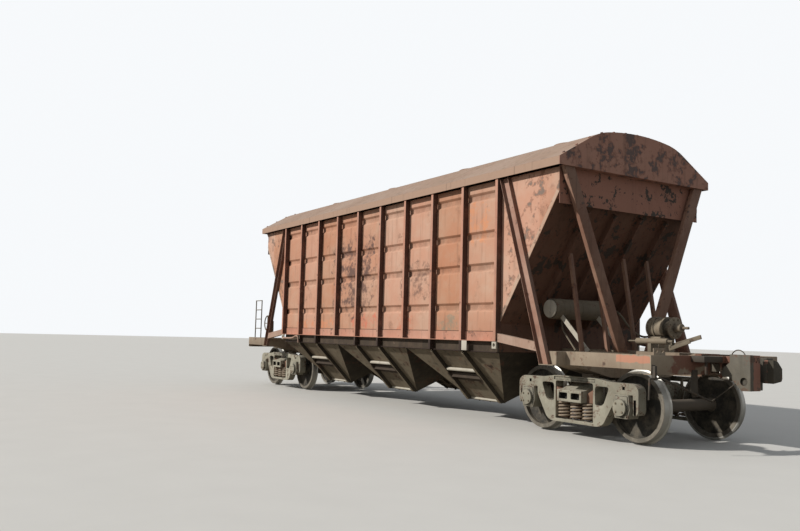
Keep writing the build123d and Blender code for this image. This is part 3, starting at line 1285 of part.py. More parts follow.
os.makedirs("parts", exist_ok=True)
for name, shape in nodes.items():
    export_step(Pos(0, 0, FLANGE_H) * shape, f"parts/{name}.step")
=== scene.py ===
"""Looks of a covered hopper wagon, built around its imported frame, in metres.

The wagon lies along X with the brake cylinder's end at +X. Z is up from the floor, and the rail tops
would be one flange height above it.
"""

from __future__ import annotations

import logging
import math
from dataclasses import dataclass
from enum import Enum

import bpy
from mathutils import Matrix, Vector
from mathutils.bvhtree import BVHTree

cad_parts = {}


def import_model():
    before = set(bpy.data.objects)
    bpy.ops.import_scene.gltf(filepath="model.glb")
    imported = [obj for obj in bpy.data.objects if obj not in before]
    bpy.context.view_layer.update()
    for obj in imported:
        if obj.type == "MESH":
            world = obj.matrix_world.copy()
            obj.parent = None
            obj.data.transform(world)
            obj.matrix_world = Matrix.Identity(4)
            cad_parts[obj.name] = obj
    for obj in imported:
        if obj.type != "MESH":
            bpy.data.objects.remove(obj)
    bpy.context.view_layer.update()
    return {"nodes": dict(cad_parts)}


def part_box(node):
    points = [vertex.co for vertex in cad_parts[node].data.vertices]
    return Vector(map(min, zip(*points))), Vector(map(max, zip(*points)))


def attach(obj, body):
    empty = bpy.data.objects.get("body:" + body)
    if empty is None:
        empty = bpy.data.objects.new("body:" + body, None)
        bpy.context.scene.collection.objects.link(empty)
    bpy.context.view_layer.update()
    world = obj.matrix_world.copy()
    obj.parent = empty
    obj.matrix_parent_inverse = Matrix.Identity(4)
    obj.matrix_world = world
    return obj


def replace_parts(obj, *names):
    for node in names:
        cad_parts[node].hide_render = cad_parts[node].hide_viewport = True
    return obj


LOG = logging.getLogger("wagon")

Triple = tuple[float, float, float]
Run = tuple[Triple, ...]
Colour = tuple[float, float, float, float]
Point = Triple | Vector
Thing = bpy.types.Object
Tree = bpy.types.NodeTree
Socket = bpy.types.NodeSocket
Outputs = bpy.types.bpy_prop_collection
Value = float | Triple | Colour | Socket
Feeds = dict[str | int, Value]

WAGON = "wagon_body"
ENDS = ("near", "far")
AXLES = ("outer", "inner")
HATCH_COUNT = 4
FLANGE_H = 0.028
ORIGIN = Vector((0.0, 0.0, 0.0))
HALF_TURN = Matrix.Rotation(math.pi, 4, "Z")
BOTH_ENDS = [Matrix(), HALF_TURN]

# Limits of Blender's tools

SMOOTH_BELOW = 32.0
TUBE_SMOOTH_BELOW = 50.0
RING_SMOOTH_BELOW = 60.0
ROD_EDGE = math.radians(50.0)
NODE_EDGE = math.radians(28.0)
FLAT_ANGLE = math.radians(0.6)
DOUBLE_GAP = 0.00005


class Slot(Enum):
    """Names of material slots that pieces are added with; they are not used."""

    SALMON = "salmon_paint"
    ROOF = "roof_paint"
    BROWN = "brown_paint"
    HOPPER = "hopper_paint"
    FRAME = "frame_paint"
    FITTINGS = "fittings_paint"
    COUPLER = "coupler_steel"
    CAST = "cast_steel"
    SPRING = "spring_steel"
    WHEEL = "wheel_steel"


def rgb(red: float, green: float, blue: float) -> Colour:
    """A colour as drawn on screen, turned to the linear values that shaders take."""
    linear = [((c + 0.055) / 1.055) ** 2.4 if c > 0.04045 else c / 12.92 for c in (red, green, blue)]
    return (linear[0], linear[1], linear[2], 1.0)


# Noise patterns


@dataclass(frozen=True)
class Noise:
    """A noise pattern: scale per metre, octaves, their strength and the levels of its mask."""

    scale: float
    detail: float = 4.0
    rough: float = 0.55
    low: float = 0.0
    high: float = 1.0
    stretch: Triple = (1.0, 1.0, 1.0)
    shift: float = 0.0


FADING = Noise(0.9, 5.0, 0.6, 0.38, 0.68)
MOTTLING = Noise(7.0, 6.0, 0.65, 0.40, 0.75, shift=3.1)
RUN_OFF = Noise(3.0, 4.0, 0.6, 0.52, 0.78, (3.2, 3.2, 0.22), 5.0)
SMUT = Noise(2.1, 8.0, 0.72, 0.55, 0.80, shift=9.4)
BARE_SPOTS = Noise(1.0, 9.0, 0.66)
FLAKES = Noise(4.5, 4.0, 0.6, shift=2.0)
ORANGE_PEEL = Noise(90.0, 3.0, 0.6)
PITTING = Noise(26.0, 5.0, 0.7, shift=1.0)
DENTING = Noise(2.4, 2.0, 0.4, shift=4.0)
DUST_BLOTS = Noise(5.0, 7.0, 0.7, 0.36, 0.66, shift=6.0)
RAGGED_EDGE = Noise(9.0, 2.0, 0.5)
PATCH_WEAR = Noise(5.0, 7.0, 0.7, 0.42, 0.60, shift=7.7)
RECESS_BLOTS = Noise(4.0, 6.0, 0.7, 0.30, 0.66, shift=8.0)
# Blotches in the painted shade on faces that look along the wagon.
SIDE_SHADE_BLOTS = Noise(3.0, 6.0, 0.7, 0.25, 0.55, shift=11.0)
# Blotches in the painted occlusion shade and grime.
CREVICE_BLOTS = Noise(10.0, 6.0, 0.7)
WOOD_LINES = Noise(22.0, 5.0, 0.7, stretch=(0.05, 3.0, 3.0))
KNOTS = Noise(3.0, 3.0, 0.6, stretch=(0.6, 2.0, 1.0), shift=2.0)
WHEEL_BLOTS = Noise(6.0, 7.0, 0.7, 0.40, 0.66)
FLOOR_TONE = Noise(1.5, 6.0)

# Where the effects lie on the wagon, in metres

PANEL_START = -3.976
PANEL_PITCH = 0.8836
SHEET_FACE = 1.5
RECESS_DEPTH = 0.035
SEAM_HALF_WIDTH = 0.012
CREVICE_REACH = 0.12
END_PEEL_RISE = (4.0, 4.2)
BUMP_DEPTH = 0.004
WHEEL_BUMP_DEPTH = 0.003

# How the effects blend: what one pattern adds to another, and where a mask starts and is full

SHIFT_WAYS = (1.0, 0.7, 1.3)
MOTTLE_SHARE = 0.5
COARSE_SHARE = 0.72
PEEL_SLOPE = -0.32
PEEL_LEVEL = 0.74
CHIP_LEVELS = (-0.004, 0.022)
RIM_LEVELS = (-0.045, 0.0)
CHIP_HEIGHT = 0.5
ORANGE_SHARE = 0.12
PIT_ROUGHNESS = 0.35
UPWARD_LEVELS = (0.25, 0.95)
DUST_LEAST = 0.4
DUST_ROUGHNESS = 0.15
SIDE_SEED = 40.5
EDGE_SOFTNESS = 0.25
EDGE_LEAST = 0.002
WOOD_SHARE = 0.7
WOOD_LEVELS = (0.40, 0.62)
SEAM_HEIGHT = 1.5
LENGTHWISE_LEVELS = (0.45, 0.70)
SIDE_SHADE_LEAST = 0.7
CREVICE_SPREAD = 0.9
CREVICE_LEVELS = (0.06, 0.44)

# Node groups


@dataclass
class Wiring:
    """A node tree, the coordinates of its patterns, and short ways to add to it."""

    tree: Tree
    vector: Socket | None = None

    def add(self, kind: str, feeds: Feeds | None = None, **settings: object) -> bpy.types.Node:
        """Add a shader node.

        Args:
            kind: Blender's name of the node's type, without ShaderNode before it.
            feeds: What its inputs get, by their names or numbers.
            settings: Property names and values.

        Returns:
            The new node.
        """
        node = self.tree.nodes.new(f"ShaderNode{kind}")
        for name, value in settings.items():
            setattr(node, name, value)
        for place, value in (feeds or {}).items():
            self.feed(node.inputs[place], value)
        return node

    def feed(self, socket: Socket, value: Value) -> None:
        """Give a socket a plain value or another socket's output.

        Args:
            socket: The socket to feed.
            value: A number, a vector, a colour or an output.
        """
        if isinstance(value, Socket):
            self.tree.links.new(value, socket)
        else:
            socket.default_value = value

    def math(self, operation: str, a: Value, b: Value = 0.0, clamp: bool = False) -> Socket:
        """The output of a Math node, held between 0 and 1 if clamp is set."""
        return self.add("Math", {0: a, 1: b}, operation=operation, use_clamp=clamp).outputs[0]

    def plus(self, a: Value, b: Value, clamp: bool = False) -> Socket:
        """The sum of two values."""
        return self.math("ADD", a, b, clamp)

    def minus(self, a: Value, b: Value, clamp: bool = False) -> Socket:
        """The first value less the second."""
        return self.math("SUBTRACT", a, b, clamp)

    def times(self, a: Value, b: Value, clamp: bool = False) -> Socket:
        """The product of two values."""
        return self.math("MULTIPLY", a, b, clamp)

    def share(self, a: Value, b: Value, clamp: bool = False) -> Socket:
        """The first value divided by the second."""
        return self.math("DIVIDE", a, b, clamp)

    def linear(self, value: Value, slope: Value, offset: Value) -> Socket:
        """A value times a slope, plus an offset."""
        return self.add("Math", {0: value, 1: slope, 2: offset}, operation="MULTIPLY_ADD").outputs[0]

    def axes(self, vector: Value) -> Outputs:
        """The X, Y and Z of a vector."""
        return self.add("SeparateXYZ", {0: vector}).outputs

    def noise(self, pattern: Noise, vector: Socket | None = None) -> Socket:
        """Add a noise pattern.

        Args:
            pattern: Scale, fineness, stretch and shift.
            vector: Coordinates other than the tree's own.

        Returns:
            The noise's value, about 0.3 to 0.7.
        """
        moved = self.add("Mapping", {
            "Vector": vector or self.vector, "Scale": pattern.stretch,
            "Location": tuple(pattern.shift * way for way in SHIFT_WAYS)}).outputs[0]
        return self.add("TexNoise", {"Vector": moved, "Scale": pattern.scale, "Detail": pattern.detail,
                                     "Roughness": pattern.rough}).outputs["Fac"]

    def ramp(self, value: Value, low: float, high: float) -> Socket:
        """A mask that rises smoothly from 0 at low to 1 at high."""
        return self.add("MapRange", {"Value": value, "From Min": low, "From Max": high},
                        clamp=True, interpolation_type="SMOOTHSTEP").outputs["Result"]

    def spots(self, pattern: Noise) -> Socket:
        """A noise pattern as a mask between its levels."""
        return self.ramp(self.noise(pattern), pattern.low, pattern.high)

    def mix(self, factor: Value, a: Value, b: Value) -> Socket:
        """Two colours mixed by a mask."""
        return self.add("Mix", {0: factor, 6: a, 7: b}, data_type="RGBA").outputs[2]

    def coat(self, colour: Value, mask: Value, strength: float, paint: Colour) -> Socket:
        """A colour with a coat of paint over it where a mask is."""
        return self.mix(self.times(mask, strength), colour, paint)

    def place(self, group: Tree, **values: Value) -> Outputs:
        """The outputs of a node group that is placed here."""
        return self.add("Group", {"Vector": self.vector, **values}, node_tree=group).outputs

    def bump(self, height: Value, strength: float, depth: float) -> Socket:
        """The normal of a surface with a height of its own."""
        return self.add("Bump", {"Strength": strength, "Distance": depth, "Height": height}).outputs["Normal"]


class Group(Wiring):
    """A shader node group in the making. Its first input is always a vector."""

    def __init__(self, name: str, inputs: dict[str, Value | None], *outputs: str) -> None:
        """Start the group with its sockets.

        Args:
            name: The group's name.
            inputs: Names of the other inputs with their defaults; None makes a vector.
            outputs: Names of the outputs: Colour is a colour, and the others are values.
        """
        super().__init__(bpy.data.node_groups.new(name, "ShaderNodeTree"))
        face = self.tree.interface
        for label, value in {"Vector": None, **inputs}.items():
            kind = "Vector" if value is None else "Color" if isinstance(value, tuple) else "Float"
            socket = face.new_socket(name=label, in_out="INPUT", socket_type=f"NodeSocket{kind}")
            if value is not None:
                socket.default_value = value
        for label in outputs:
            kind = "Color" if label == "Colour" else "Float"
            face.new_socket(name=label, in_out="OUTPUT", socket_type=f"NodeSocket{kind}")
        self.at = self.tree.nodes.new("NodeGroupInput").outputs
        self.out = self.tree.nodes.new("NodeGroupOutput").inputs
        self.vector = self.at["Vector"]

    def facing(self) -> Outputs:
        """The X, Y and Z of the way that the surface faces."""
        return self.axes(self.add("NewGeometry").outputs["Normal"])

    def close(self, **results: Value) -> Tree:
        """Feed the group's outputs.

        Args:
            results: What each output gets, by its name.

        Returns:
            The finished group.
        """
        for label, value in results.items():
            self.feed(self.out[label], value)
        return self.tree


class Effects:
    """Shared surface effects, each a node group that is built once."""

    def __init__(self) -> None:
        """Build every group."""
        self.weather = self._weather()
        self.peeling = self._peeling()
        self.grain = self._grain()
        self.dusting = self._dusting()
        self.panels = self._panels()
        self.patch = self._patch()
        self.recess = self._recess()
        self.seams = self._seams()
        self.planks = self._planks()
        self.painted_side_shade = self._painted_side_shade()
        self.crevice_shade_and_grime = self._crevice_shade_and_grime()

    def _weather(self) -> Tree:
        """Broad fading, blotches and vertical run-off streaks over a paint colour.

        Returns:
            The node group.
        """
        plain = rgb(0.5, 0.5, 0.5)
        group = Group("paint_weather", {"Paint": plain, "Faded": plain, "Dirt": plain, "Fade": 0.5,
                                        "Streaks": 0.4, "Soot": 0.3}, "Colour", "Mask")
        at = group.at
        broad = group.spots(FADING)
        faded = group.times(group.linear(group.spots(MOTTLING), MOTTLE_SHARE, broad), at["Fade"], True)
        streaks = group.times(group.spots(RUN_OFF), at["Streaks"], True)
        soot = group.times(group.spots(SMUT), at["Soot"], True)
        colour = group.mix(faded, at["Paint"], at["Faded"])
        colour = group.mix(streaks, colour, at["Dirt"])
        colour = group.mix(soot, colour, at["Dirt"])
        return group.close(Colour=colour, Mask=group.math("MAXIMUM", streaks, soot))

    def _peeling(self) -> Tree:
        """Patches where paint has come off, with a clean edge and a raised lip.

        Returns:
            The group.
        """
        group = Group("paint_peeling", {"Amount": 0.5, "Scale": 3.0}, "Mask", "Height", "Rim")
        vector = group.add("VectorMath", {0: group.vector, "Scale": group.at["Scale"]},
                           operation="SCALE").outputs[0]
        coarse = group.times(group.noise(BARE_SPOTS, vector), COARSE_SHARE)
        both = group.linear(group.noise(FLAKES, vector), 1 - COARSE_SHARE, coarse)
        over = group.minus(both, group.linear(group.at["Amount"], PEEL_SLOPE, PEEL_LEVEL))
        mask = group.ramp(over, *CHIP_LEVELS)
        rim = group.minus(group.ramp(over, *RIM_LEVELS), mask, True)
        return group.close(Mask=mask, Rim=rim, Height=group.minus(1.0, mask))

    def _grain(self) -> Tree:
        """Fine height for bump: orange peel, pits and dents.

        Returns:
            The group.
        """
        group = Group("surface_grain", {"Pits": 0.5, "Dents": 0.3}, "Height", "Rough")
        pits = group.noise(PITTING)
        height = group.times(group.noise(ORANGE_PEEL), ORANGE_SHARE)
        height = group.linear(pits, group.at["Pits"], height)
        height = group.linear(group.noise(DENTING), group.at["Dents"], height)
        return group.close(Height=height, Rough=pits)

    def _dusting(self) -> Tree:
        """A pale dust mask, thicker on upward faces and towards the ground.

        Returns:
            The group.
        """
        group = Group("road_dust", {"Amount": 0.5, "Low": 0.4, "High": 1.6}, "Mask")
        upward = group.ramp(group.facing()["Z"], *UPWARD_LEVELS)
        drop = group.add("MapRange", {"Value": group.axes(group.vector)["Z"], "From Min": group.at["High"],
                                      "From Max": group.at["Low"]}, clamp=True).outputs["Result"]
        blots = group.linear(group.spots(DUST_BLOTS), 1 - DUST_LEAST, DUST_LEAST)
        lying = group.times(group.math("MAXIMUM", upward, drop), blots)
        return group.close(Mask=group.times(lying, group.at["Amount"], True))

    def _panels(self) -> Tree:
        """A steady shade of its own for each panel between two posts.

        Returns:
            The group.
        """
        group = Group("panel_shades", {"Amount": 0.5}, "Value")
        place = group.axes(group.vector)
        panel = group.math("FLOOR", group.share(group.minus(place["X"], PANEL_START), PANEL_PITCH))
        seed = group.linear(group.math("SIGN", place["Y"]), SIDE_SEED, panel)
        chance = group.add("TexWhiteNoise", {"W": seed}, noise_dimensions="1D").outputs["Value"]
        shade = group.minus(chance, 0.5)
        return group.close(Value=group.times(shade, group.at["Amount"]))

    def _patch(self) -> Tree:
        """A patch of other paint with ragged edges, between two corners of a box.

        Returns:
            The group.
        """
        group = Group("paint_patch", {"Low": None, "High": None, "Ragged": 0.03}, "Mask")
        ragged = group.at["Ragged"]
        shake = group.minus(group.noise(RAGGED_EDGE), 0.5)
        moved = group.times(group.times(shake, ragged), 2.0)
        soft = group.linear(ragged, EDGE_SOFTNESS, EDGE_LEAST)
        place, low, high = (group.axes(group.at[name]) for name in ("Vector", "Low", "High"))
        mask: Value = 1.0
        for axis in "XYZ":
            here = group.plus(place[axis], moved)
            above = group.share(group.minus(here, low[axis]), soft, True)
            below = group.share(group.minus(high[axis], here), soft, True)
            mask = group.times(mask, group.times(above, below))
        return group.close(Mask=mask)

    def _recess(self) -> Tree:
        """A mask that rises with depth behind the side sheets' outer face.

        Returns:
            The group.
        """
        group = Group("recess_darkening", {}, "Mask")
        out = group.math("ABSOLUTE", group.axes(group.vector)["Y"])
        deep = group.share(group.minus(SHEET_FACE, out), RECESS_DEPTH, True)
        return group.close(Mask=group.times(deep, group.spots(RECESS_BLOTS)))

    def _seams(self) -> Tree:
        """Thin lines across the wagon at a steady pitch, for welded and lapped plates.

        Returns:
            The group.
        """
        group = Group("plate_seams", {"Pitch": 1.767}, "Mask")
        pitch = group.at["Pitch"]
        part = group.math("FRACT", group.share(group.axes(group.vector)["X"], pitch))
        off = group.times(group.math("ABSOLUTE", group.minus(part, 0.5)), pitch)
        return group.close(Mask=group.minus(1.0, group.share(off, SEAM_HALF_WIDTH), True))

    def _planks(self) -> Tree:
        """Wood grain along the wagon, with darker lines and knots.

        Returns:
            The group.
        """
        group = Group("plank_grain", {}, "Mask")
        lines = group.times(group.noise(WOOD_LINES), WOOD_SHARE)
        both = group.linear(group.noise(KNOTS), 1 - WOOD_SHARE, lines)
        return group.close(Mask=group.ramp(both, *WOOD_LEVELS))

    def _painted_side_shade(self) -> Tree:
        """A mask of painted shade on faces that look along the wagon, in blotches.

        Returns:
            The group.
        """
        group = Group("painted_side_shade_mask", {}, "Mask")
        along = group.ramp(group.math("ABSOLUTE", group.facing()["X"]), *LENGTHWISE_LEVELS)
        blotchiness = group.linear(group.spots(SIDE_SHADE_BLOTS), 1 - SIDE_SHADE_LEAST, SIDE_SHADE_LEAST)
        return group.close(Mask=group.times(along, blotchiness))

    def _crevice_shade_and_grime(self) -> Tree:
        """Painted shade and grime in a piece's own corners and recesses, found by ambient occlusion.

        Returns:
            The group.
        """
        group = Group("crevice_shade_and_grime_mask", {}, "Mask")
        hollow = group.add("AmbientOcclusion", {"Distance": CREVICE_REACH}, samples=6, only_local=True)
        deep = group.minus(1.0, hollow.outputs["AO"])
        blots = group.minus(group.noise(CREVICE_BLOTS), 0.5)
        return group.close(Mask=group.ramp(group.linear(blots, CREVICE_SPREAD, deep), *CREVICE_LEVELS))


def new_surface(name: str) -> tuple[bpy.types.Material, Wiring, Outputs]:
    """Start a material whose patterns lie on the object's own coordinates.

    Args:
        name: The material's name.

    Returns:
        The material, its wiring and its shader's inputs.
    """
    material = bpy.data.materials.new(name)
    material.use_nodes = True
    wires = Wiring(material.node_tree)
    wires.vector = wires.add("TexCoord").outputs["Object"]
    return material, wires, wires.tree.nodes["Principled BSDF"].inputs


# Finishes


@dataclass(frozen=True)
class Patch:
    """A patch of other paint inside a box, with ragged edges."""

    low: Triple
    high: Triple
    paint: Colour
    ragged: float = 0.03
    mottled: bool = False

    @classmethod
    def pair(cls, low: Triple, high: Triple, paint: Colour, ragged: float = 0.0) -> tuple[Patch, Patch]:
        """A patch and its twin at the wagon's other end."""
        turned = (-high[0], -high[1], low[2]), (-low[0], -low[1], high[2])
        return cls(low, high, paint, ragged), cls(*turned, paint, ragged)


@dataclass(frozen=True)
class Finish:
    """A painted or bare metal finish, its wear, its painted shade and its surface."""

    name: str
    paint: Colour
    faded: Colour
    under: Colour
    # Colour of dirt, also used for painted shade on side faces and in hollows.
    dirt_and_shade: Colour = rgb(0.20, 0.16, 0.13)
    dust: Colour = rgb(0.60, 0.55, 0.47)
    fade: float = 0.5
    streaks: float = 0.35
    soot: float = 0.25
    peel: float = 0.35
    peel_scale: float = 2.6
    dusty: float = 0.3
    dust_low: float = 0.3
    dust_high: float = 1.7
    rough: float = 0.72
    shine: float = 0.35
    pits: float = 0.4
    dents: float = 0.5
    bump: float = 0.35
    panels: float = 0.0
    recess: float = 0.0
    # Strength of painted shade on faces that look along the wagon.
    painted_side_shade: float = 0.0
    # Strength of painted occlusion shade with grime in the piece's hollows.
    shade_and_grime: float = 0.0
    end_peel: float = 0.0
    rust: Colour = rgb(0.44, 0.27, 0.20)
    rim: float = 0.55
    patch_dirt: float = 0.7
    seam_pitch: float = 0.0
    seam_dirt: float = 0.55
    planked: bool = False
    patches: tuple[Patch, ...] = ()

    def build(self, effects: Effects) -> bpy.types.Material:
        """Make the material.

        Args:
            effects: The shared node groups.

        Returns:
            The finished material.
        """
        material, wires, shader = new_surface(self.name)
        place = wires.place
        weather = place(effects.weather, Paint=self.paint, Faded=self.faded, Dirt=self.dirt_and_shade,
                        Fade=self.fade, Streaks=self.streaks, Soot=self.soot)
        amount: Value = self.peel
        if self.end_peel:
            beyond = wires.ramp(wires.math("ABSOLUTE", wires.axes(wires.vector)["X"]), *END_PEEL_RISE)
            amount = wires.linear(beyond, self.end_peel, self.peel)
        peeling = place(effects.peeling, Amount=amount, Scale=self.peel_scale)
        dusting = place(effects.dusting, Amount=self.dusty, Low=self.dust_low, High=self.dust_high)["Mask"]
        grain = place(effects.grain, Pits=self.pits, Dents=self.dents)
        colour = weather["Colour"]
        if self.panels:
            shade = place(effects.panels, Amount=self.panels)["Value"]
            colour = wires.add("HueSaturation", {"Color": colour, "Value": wires.plus(1.0, shade),
                                                 "Saturation": wires.minus(1.0, shade)}).outputs["Color"]
        if self.planked:
            colour = wires.mix(place(effects.planks)["Mask"], colour, self.dirt_and_shade)
        # Painted shade on the faces that look along the wagon, in the finish's dark colour.
        if self.painted_side_shade:
            colour = wires.coat(colour, place(effects.painted_side_shade)["Mask"], self.painted_side_shade, self.dirt_and_shade)
        colour = wires.coat(colour, peeling["Rim"], self.rim, self.rust)
        colour = wires.mix(peeling["Mask"], colour, self.under)
        for patch in self.patches:
            area = place(effects.patch, Low=patch.low, High=patch.high, Ragged=patch.ragged)["Mask"]
            kept = wires.times(area, wires.minus(1.0, peeling["Mask"]))
            if patch.mottled:
                kept = wires.times(kept, wires.spots(PATCH_WEAR))
            colour = wires.mix(kept, colour, patch.paint)
        if self.patches:
            colour = wires.coat(colour, weather["Mask"], self.patch_dirt, self.dirt_and_shade)
        # Darker with depth in the side sheets' grooves.
        if self.recess:
            colour = wires.coat(colour, place(effects.recess)["Mask"], self.recess, self.dirt_and_shade)
        height = wires.linear(peeling["Height"], CHIP_HEIGHT, grain["Height"])
        if self.seam_pitch:
            seam = place(effects.seams, Pitch=self.seam_pitch)["Mask"]
            colour = wires.coat(colour, seam, self.seam_dirt, self.dirt_and_shade)
            height = wires.linear(seam, SEAM_HEIGHT, height)
        colour = wires.mix(dusting, colour, self.dust)
        # Painted ambient-occlusion shade with grime blotches in the piece's hollows.
        if self.shade_and_grime:
            colour = wires.coat(colour, place(effects.crevice_shade_and_grime)["Mask"], self.shade_and_grime, self.dirt_and_shade)
        rough = wires.linear(wires.minus(grain["Rough"], 0.5), PIT_ROUGHNESS, self.rough)
        for name, value in (("Base Color", colour), ("Specular IOR Level", self.shine),
                            ("Roughness", wires.plus(rough, wires.times(dusting, DUST_ROUGHNESS), True)),
                            ("Normal", wires.bump(height, self.bump, BUMP_DEPTH))):
            wires.feed(shader[name], value)
        return material


@dataclass(frozen=True)
class WheelFinish:
    """Wheel steel whose colour goes by the distance from the axle, kept in the mesh."""

    name: str = "wheel_steel_bands"
    axle: Colour = rgb(0.44, 0.40, 0.35)
    axle_ends: float = 0.10
    disc: Colour = rgb(0.20, 0.19, 0.17)
    dusty_disc: Colour = rgb(0.40, 0.37, 0.32)
    rim: Colour = rgb(0.52, 0.49, 0.44)
    tread: Colour = rgb(0.74, 0.73, 0.70)
    rim_starts: float = 0.414
    tread_starts: float = 0.4755
    edge: float = 0.004
    rim_edge: float = 0.006
    rim_share: float = 0.5
    rim_blots: float = 0.45
    tread_metal: float = 0.60
    rough: float = 0.76
    tread_polish: float = 0.30
    dents: float = 0.1
    bump: float = 0.25

    def build(self, effects: Effects) -> bpy.types.Material:
        """Make the material.

        Args:
            effects: The shared node groups.

        Returns:
            The finished material.
        """
        material, wires, shader = new_surface(self.name)
        offset = wires.add("Attribute", attribute_name="from_axle").outputs["Vector"]
        radius = wires.add("VectorMath", {0: offset}, operation="LENGTH").outputs["Value"]
        grain = wires.place(effects.grain, Dents=self.dents)
        blots = wires.spots(WHEEL_BLOTS)
        colour = wires.mix(blots, self.disc, self.dusty_disc)
        colour = wires.mix(wires.ramp(radius, self.axle_ends + self.edge, self.axle_ends), colour, self.axle)
        ring = wires.ramp(radius, self.rim_starts - self.edge, self.rim_starts + self.rim_edge)
        ring = wires.times(ring, wires.linear(blots, self.rim_blots, self.rim_share))
        colour = wires.mix(ring, colour, self.rim)
        bright = wires.ramp(radius, self.tread_starts - self.edge, self.tread_starts)
        for name, value in (("Base Color", wires.mix(bright, colour, self.tread)),
                            ("Metallic", wires.times(bright, self.tread_metal)),
                            ("Roughness", wires.linear(bright, -self.tread_polish, self.rough)),
                            ("Normal", wires.bump(grain["Height"], self.bump, WHEEL_BUMP_DEPTH))):
            wires.feed(shader[name], value)
        return material


SALMON = Finish("salmon_side_paint", rgb(0.775, 0.56, 0.45), rgb(0.785, 0.635, 0.54), rgb(0.52, 0.44, 0.39),
                dirt_and_shade=rgb(0.46, 0.33, 0.26), fade=0.7, streaks=0.28, soot=0.55, peel=0.30, dusty=0.2,
                dust_low=1.0, dust_high=2.4, dust=rgb(0.70, 0.60, 0.50), panels=0.16, recess=0.45,
                end_peel=0.30, patches=(
                    Patch((-0.75, -2.20, 1.42), (0.35, -0.80, 1.80), rgb(0.83, 0.50, 0.40), 0.25, True),
                    Patch((0.95, -2.20, 1.36), (1.55, -0.80, 1.72), rgb(0.82, 0.52, 0.41), 0.25, True),
                    Patch((3.10, -2.20, 2.90), (3.75, -0.80, 3.60), rgb(0.84, 0.58, 0.43), 0.30, True),
                    Patch((-3.40, -2.20, 1.40), (-1.20, -0.80, 1.70), rgb(0.84, 0.56, 0.42), 0.25, True),
                    Patch((2.35, -2.20, 1.38), (2.95, -0.80, 1.78), rgb(0.60, 0.54, 0.46), 0.20, True),
                    Patch((-1.60, -2.20, 1.75), (0.10, -0.80, 3.35), rgb(0.44, 0.33, 0.29), 0.50, True),
                    Patch((1.10, -2.20, 2.00), (2.20, -0.80, 2.70), rgb(0.54, 0.41, 0.35), 0.40, True),
                    Patch((-4.0, -1.506, 1.474), (4.0, 1.506, 1.489), rgb(0.42, 0.29, 0.23), 0.0),
                    # Painted shade: a dark band on the sheet under the lower chord's flange, where its shadow
                    # falls.
                    Patch((-4.2, -1.62, 1.0), (4.2, 1.62, 1.324), rgb(0.20, 0.17, 0.14), 0.0)))
# Posts: a darker copy of the side paint, with strong painted shade on the faces that look along the wagon.
POST = Finish("post_paint", rgb(0.72, 0.50, 0.41), rgb(0.76, 0.60, 0.52), rgb(0.46, 0.36, 0.31),
              dirt_and_shade=rgb(0.18, 0.12, 0.10), fade=0.6, streaks=0.3, soot=0.4, peel=0.4, peel_scale=4.5,
              dusty=0.1, painted_side_shade=0.88)
BAND = Finish("bare_edge_plate", rgb(0.76, 0.62, 0.53), rgb(0.78, 0.68, 0.60), rgb(0.52, 0.44, 0.38),
              dirt_and_shade=rgb(0.46, 0.36, 0.30), fade=0.7, streaks=0.2, soot=0.5, peel=0.55, peel_scale=5.0)
ROOF = Finish("roof_paint", rgb(0.61, 0.49, 0.42), rgb(0.66, 0.56, 0.50), rgb(0.46, 0.40, 0.36),
              fade=0.8, soot=0.2, peel=0.25, dusty=0.3, seam_pitch=1.767, patches=(
                  Patch((-5.6, -1.7, 3.80), (5.6, 1.7, 3.963), rgb(0.68, 0.56, 0.48), 0.0),))
GABLE = Finish("gable_paint", rgb(0.66, 0.48, 0.41), rgb(0.70, 0.54, 0.47), rgb(0.40, 0.33, 0.31),
               dirt_and_shade=rgb(0.28, 0.22, 0.19), fade=0.5, streaks=0.45, soot=0.6, peel=0.62, peel_scale=3.2,
               dusty=0.05, rust=rgb(0.44, 0.28, 0.22))
SLOPE = Finish("end_slope_paint", rgb(0.41, 0.29, 0.23), rgb(0.47, 0.35, 0.29), rgb(0.27, 0.23, 0.20),
               dirt_and_shade=rgb(0.16, 0.12, 0.10), fade=0.5, streaks=0.4, soot=0.6, peel=0.62, peel_scale=3.4,
               dusty=0.15, patches=Patch.pair((5.20, -1.50, 3.31), (5.40, 1.50, 3.90), rgb(0.62, 0.44, 0.37)))
STRUT = Finish("side_strut_paint", rgb(0.62, 0.45, 0.38), rgb(0.72, 0.59, 0.52), rgb(0.42, 0.34, 0.30),
               dirt_and_shade=rgb(0.24, 0.17, 0.14), fade=0.7, streaks=0.3, soot=0.4, peel=0.4, peel_scale=5.0,
               dusty=0.15, painted_side_shade=0.6)
# A darker copy of the side strut paint, as painted shade on the end struts and slope posts.
SHADED_BRACE = Finish("end_strut_painted_shade", rgb(0.54, 0.39, 0.32), rgb(0.66, 0.53, 0.45), rgb(0.34, 0.28, 0.25),
               dirt_and_shade=rgb(0.20, 0.15, 0.12), fade=0.6, streaks=0.4, soot=0.5, peel=0.45, peel_scale=5.0,
               dusty=0.25, painted_side_shade=0.35)
CORNER = Finish("corner_beam_paint", rgb(0.66, 0.53, 0.46), rgb(0.73, 0.63, 0.56), rgb(0.46, 0.38, 0.33),
                dirt_and_shade=rgb(0.38, 0.30, 0.26), fade=0.7, streaks=0.2, soot=0.4, peel=0.4, peel_scale=5.0)
FRAME = Finish("frame_paint", rgb(0.56, 0.49, 0.42), rgb(0.66, 0.60, 0.52), rgb(0.35, 0.28, 0.24),
               dirt_and_shade=rgb(0.20, 0.16, 0.13), fade=0.7, streaks=0.3, soot=0.6, peel=0.42, peel_scale=4.0,
               dusty=0.4, patches=(
                   Patch((6.17, -1.40, 1.110), (6.74, -1.30, 1.212), rgb(0.76, 0.53, 0.43), 0.03),
                   Patch((6.50, -0.95, 0.95), (7.30, 0.95, 1.40), rgb(0.46, 0.29, 0.23), 0.35)))
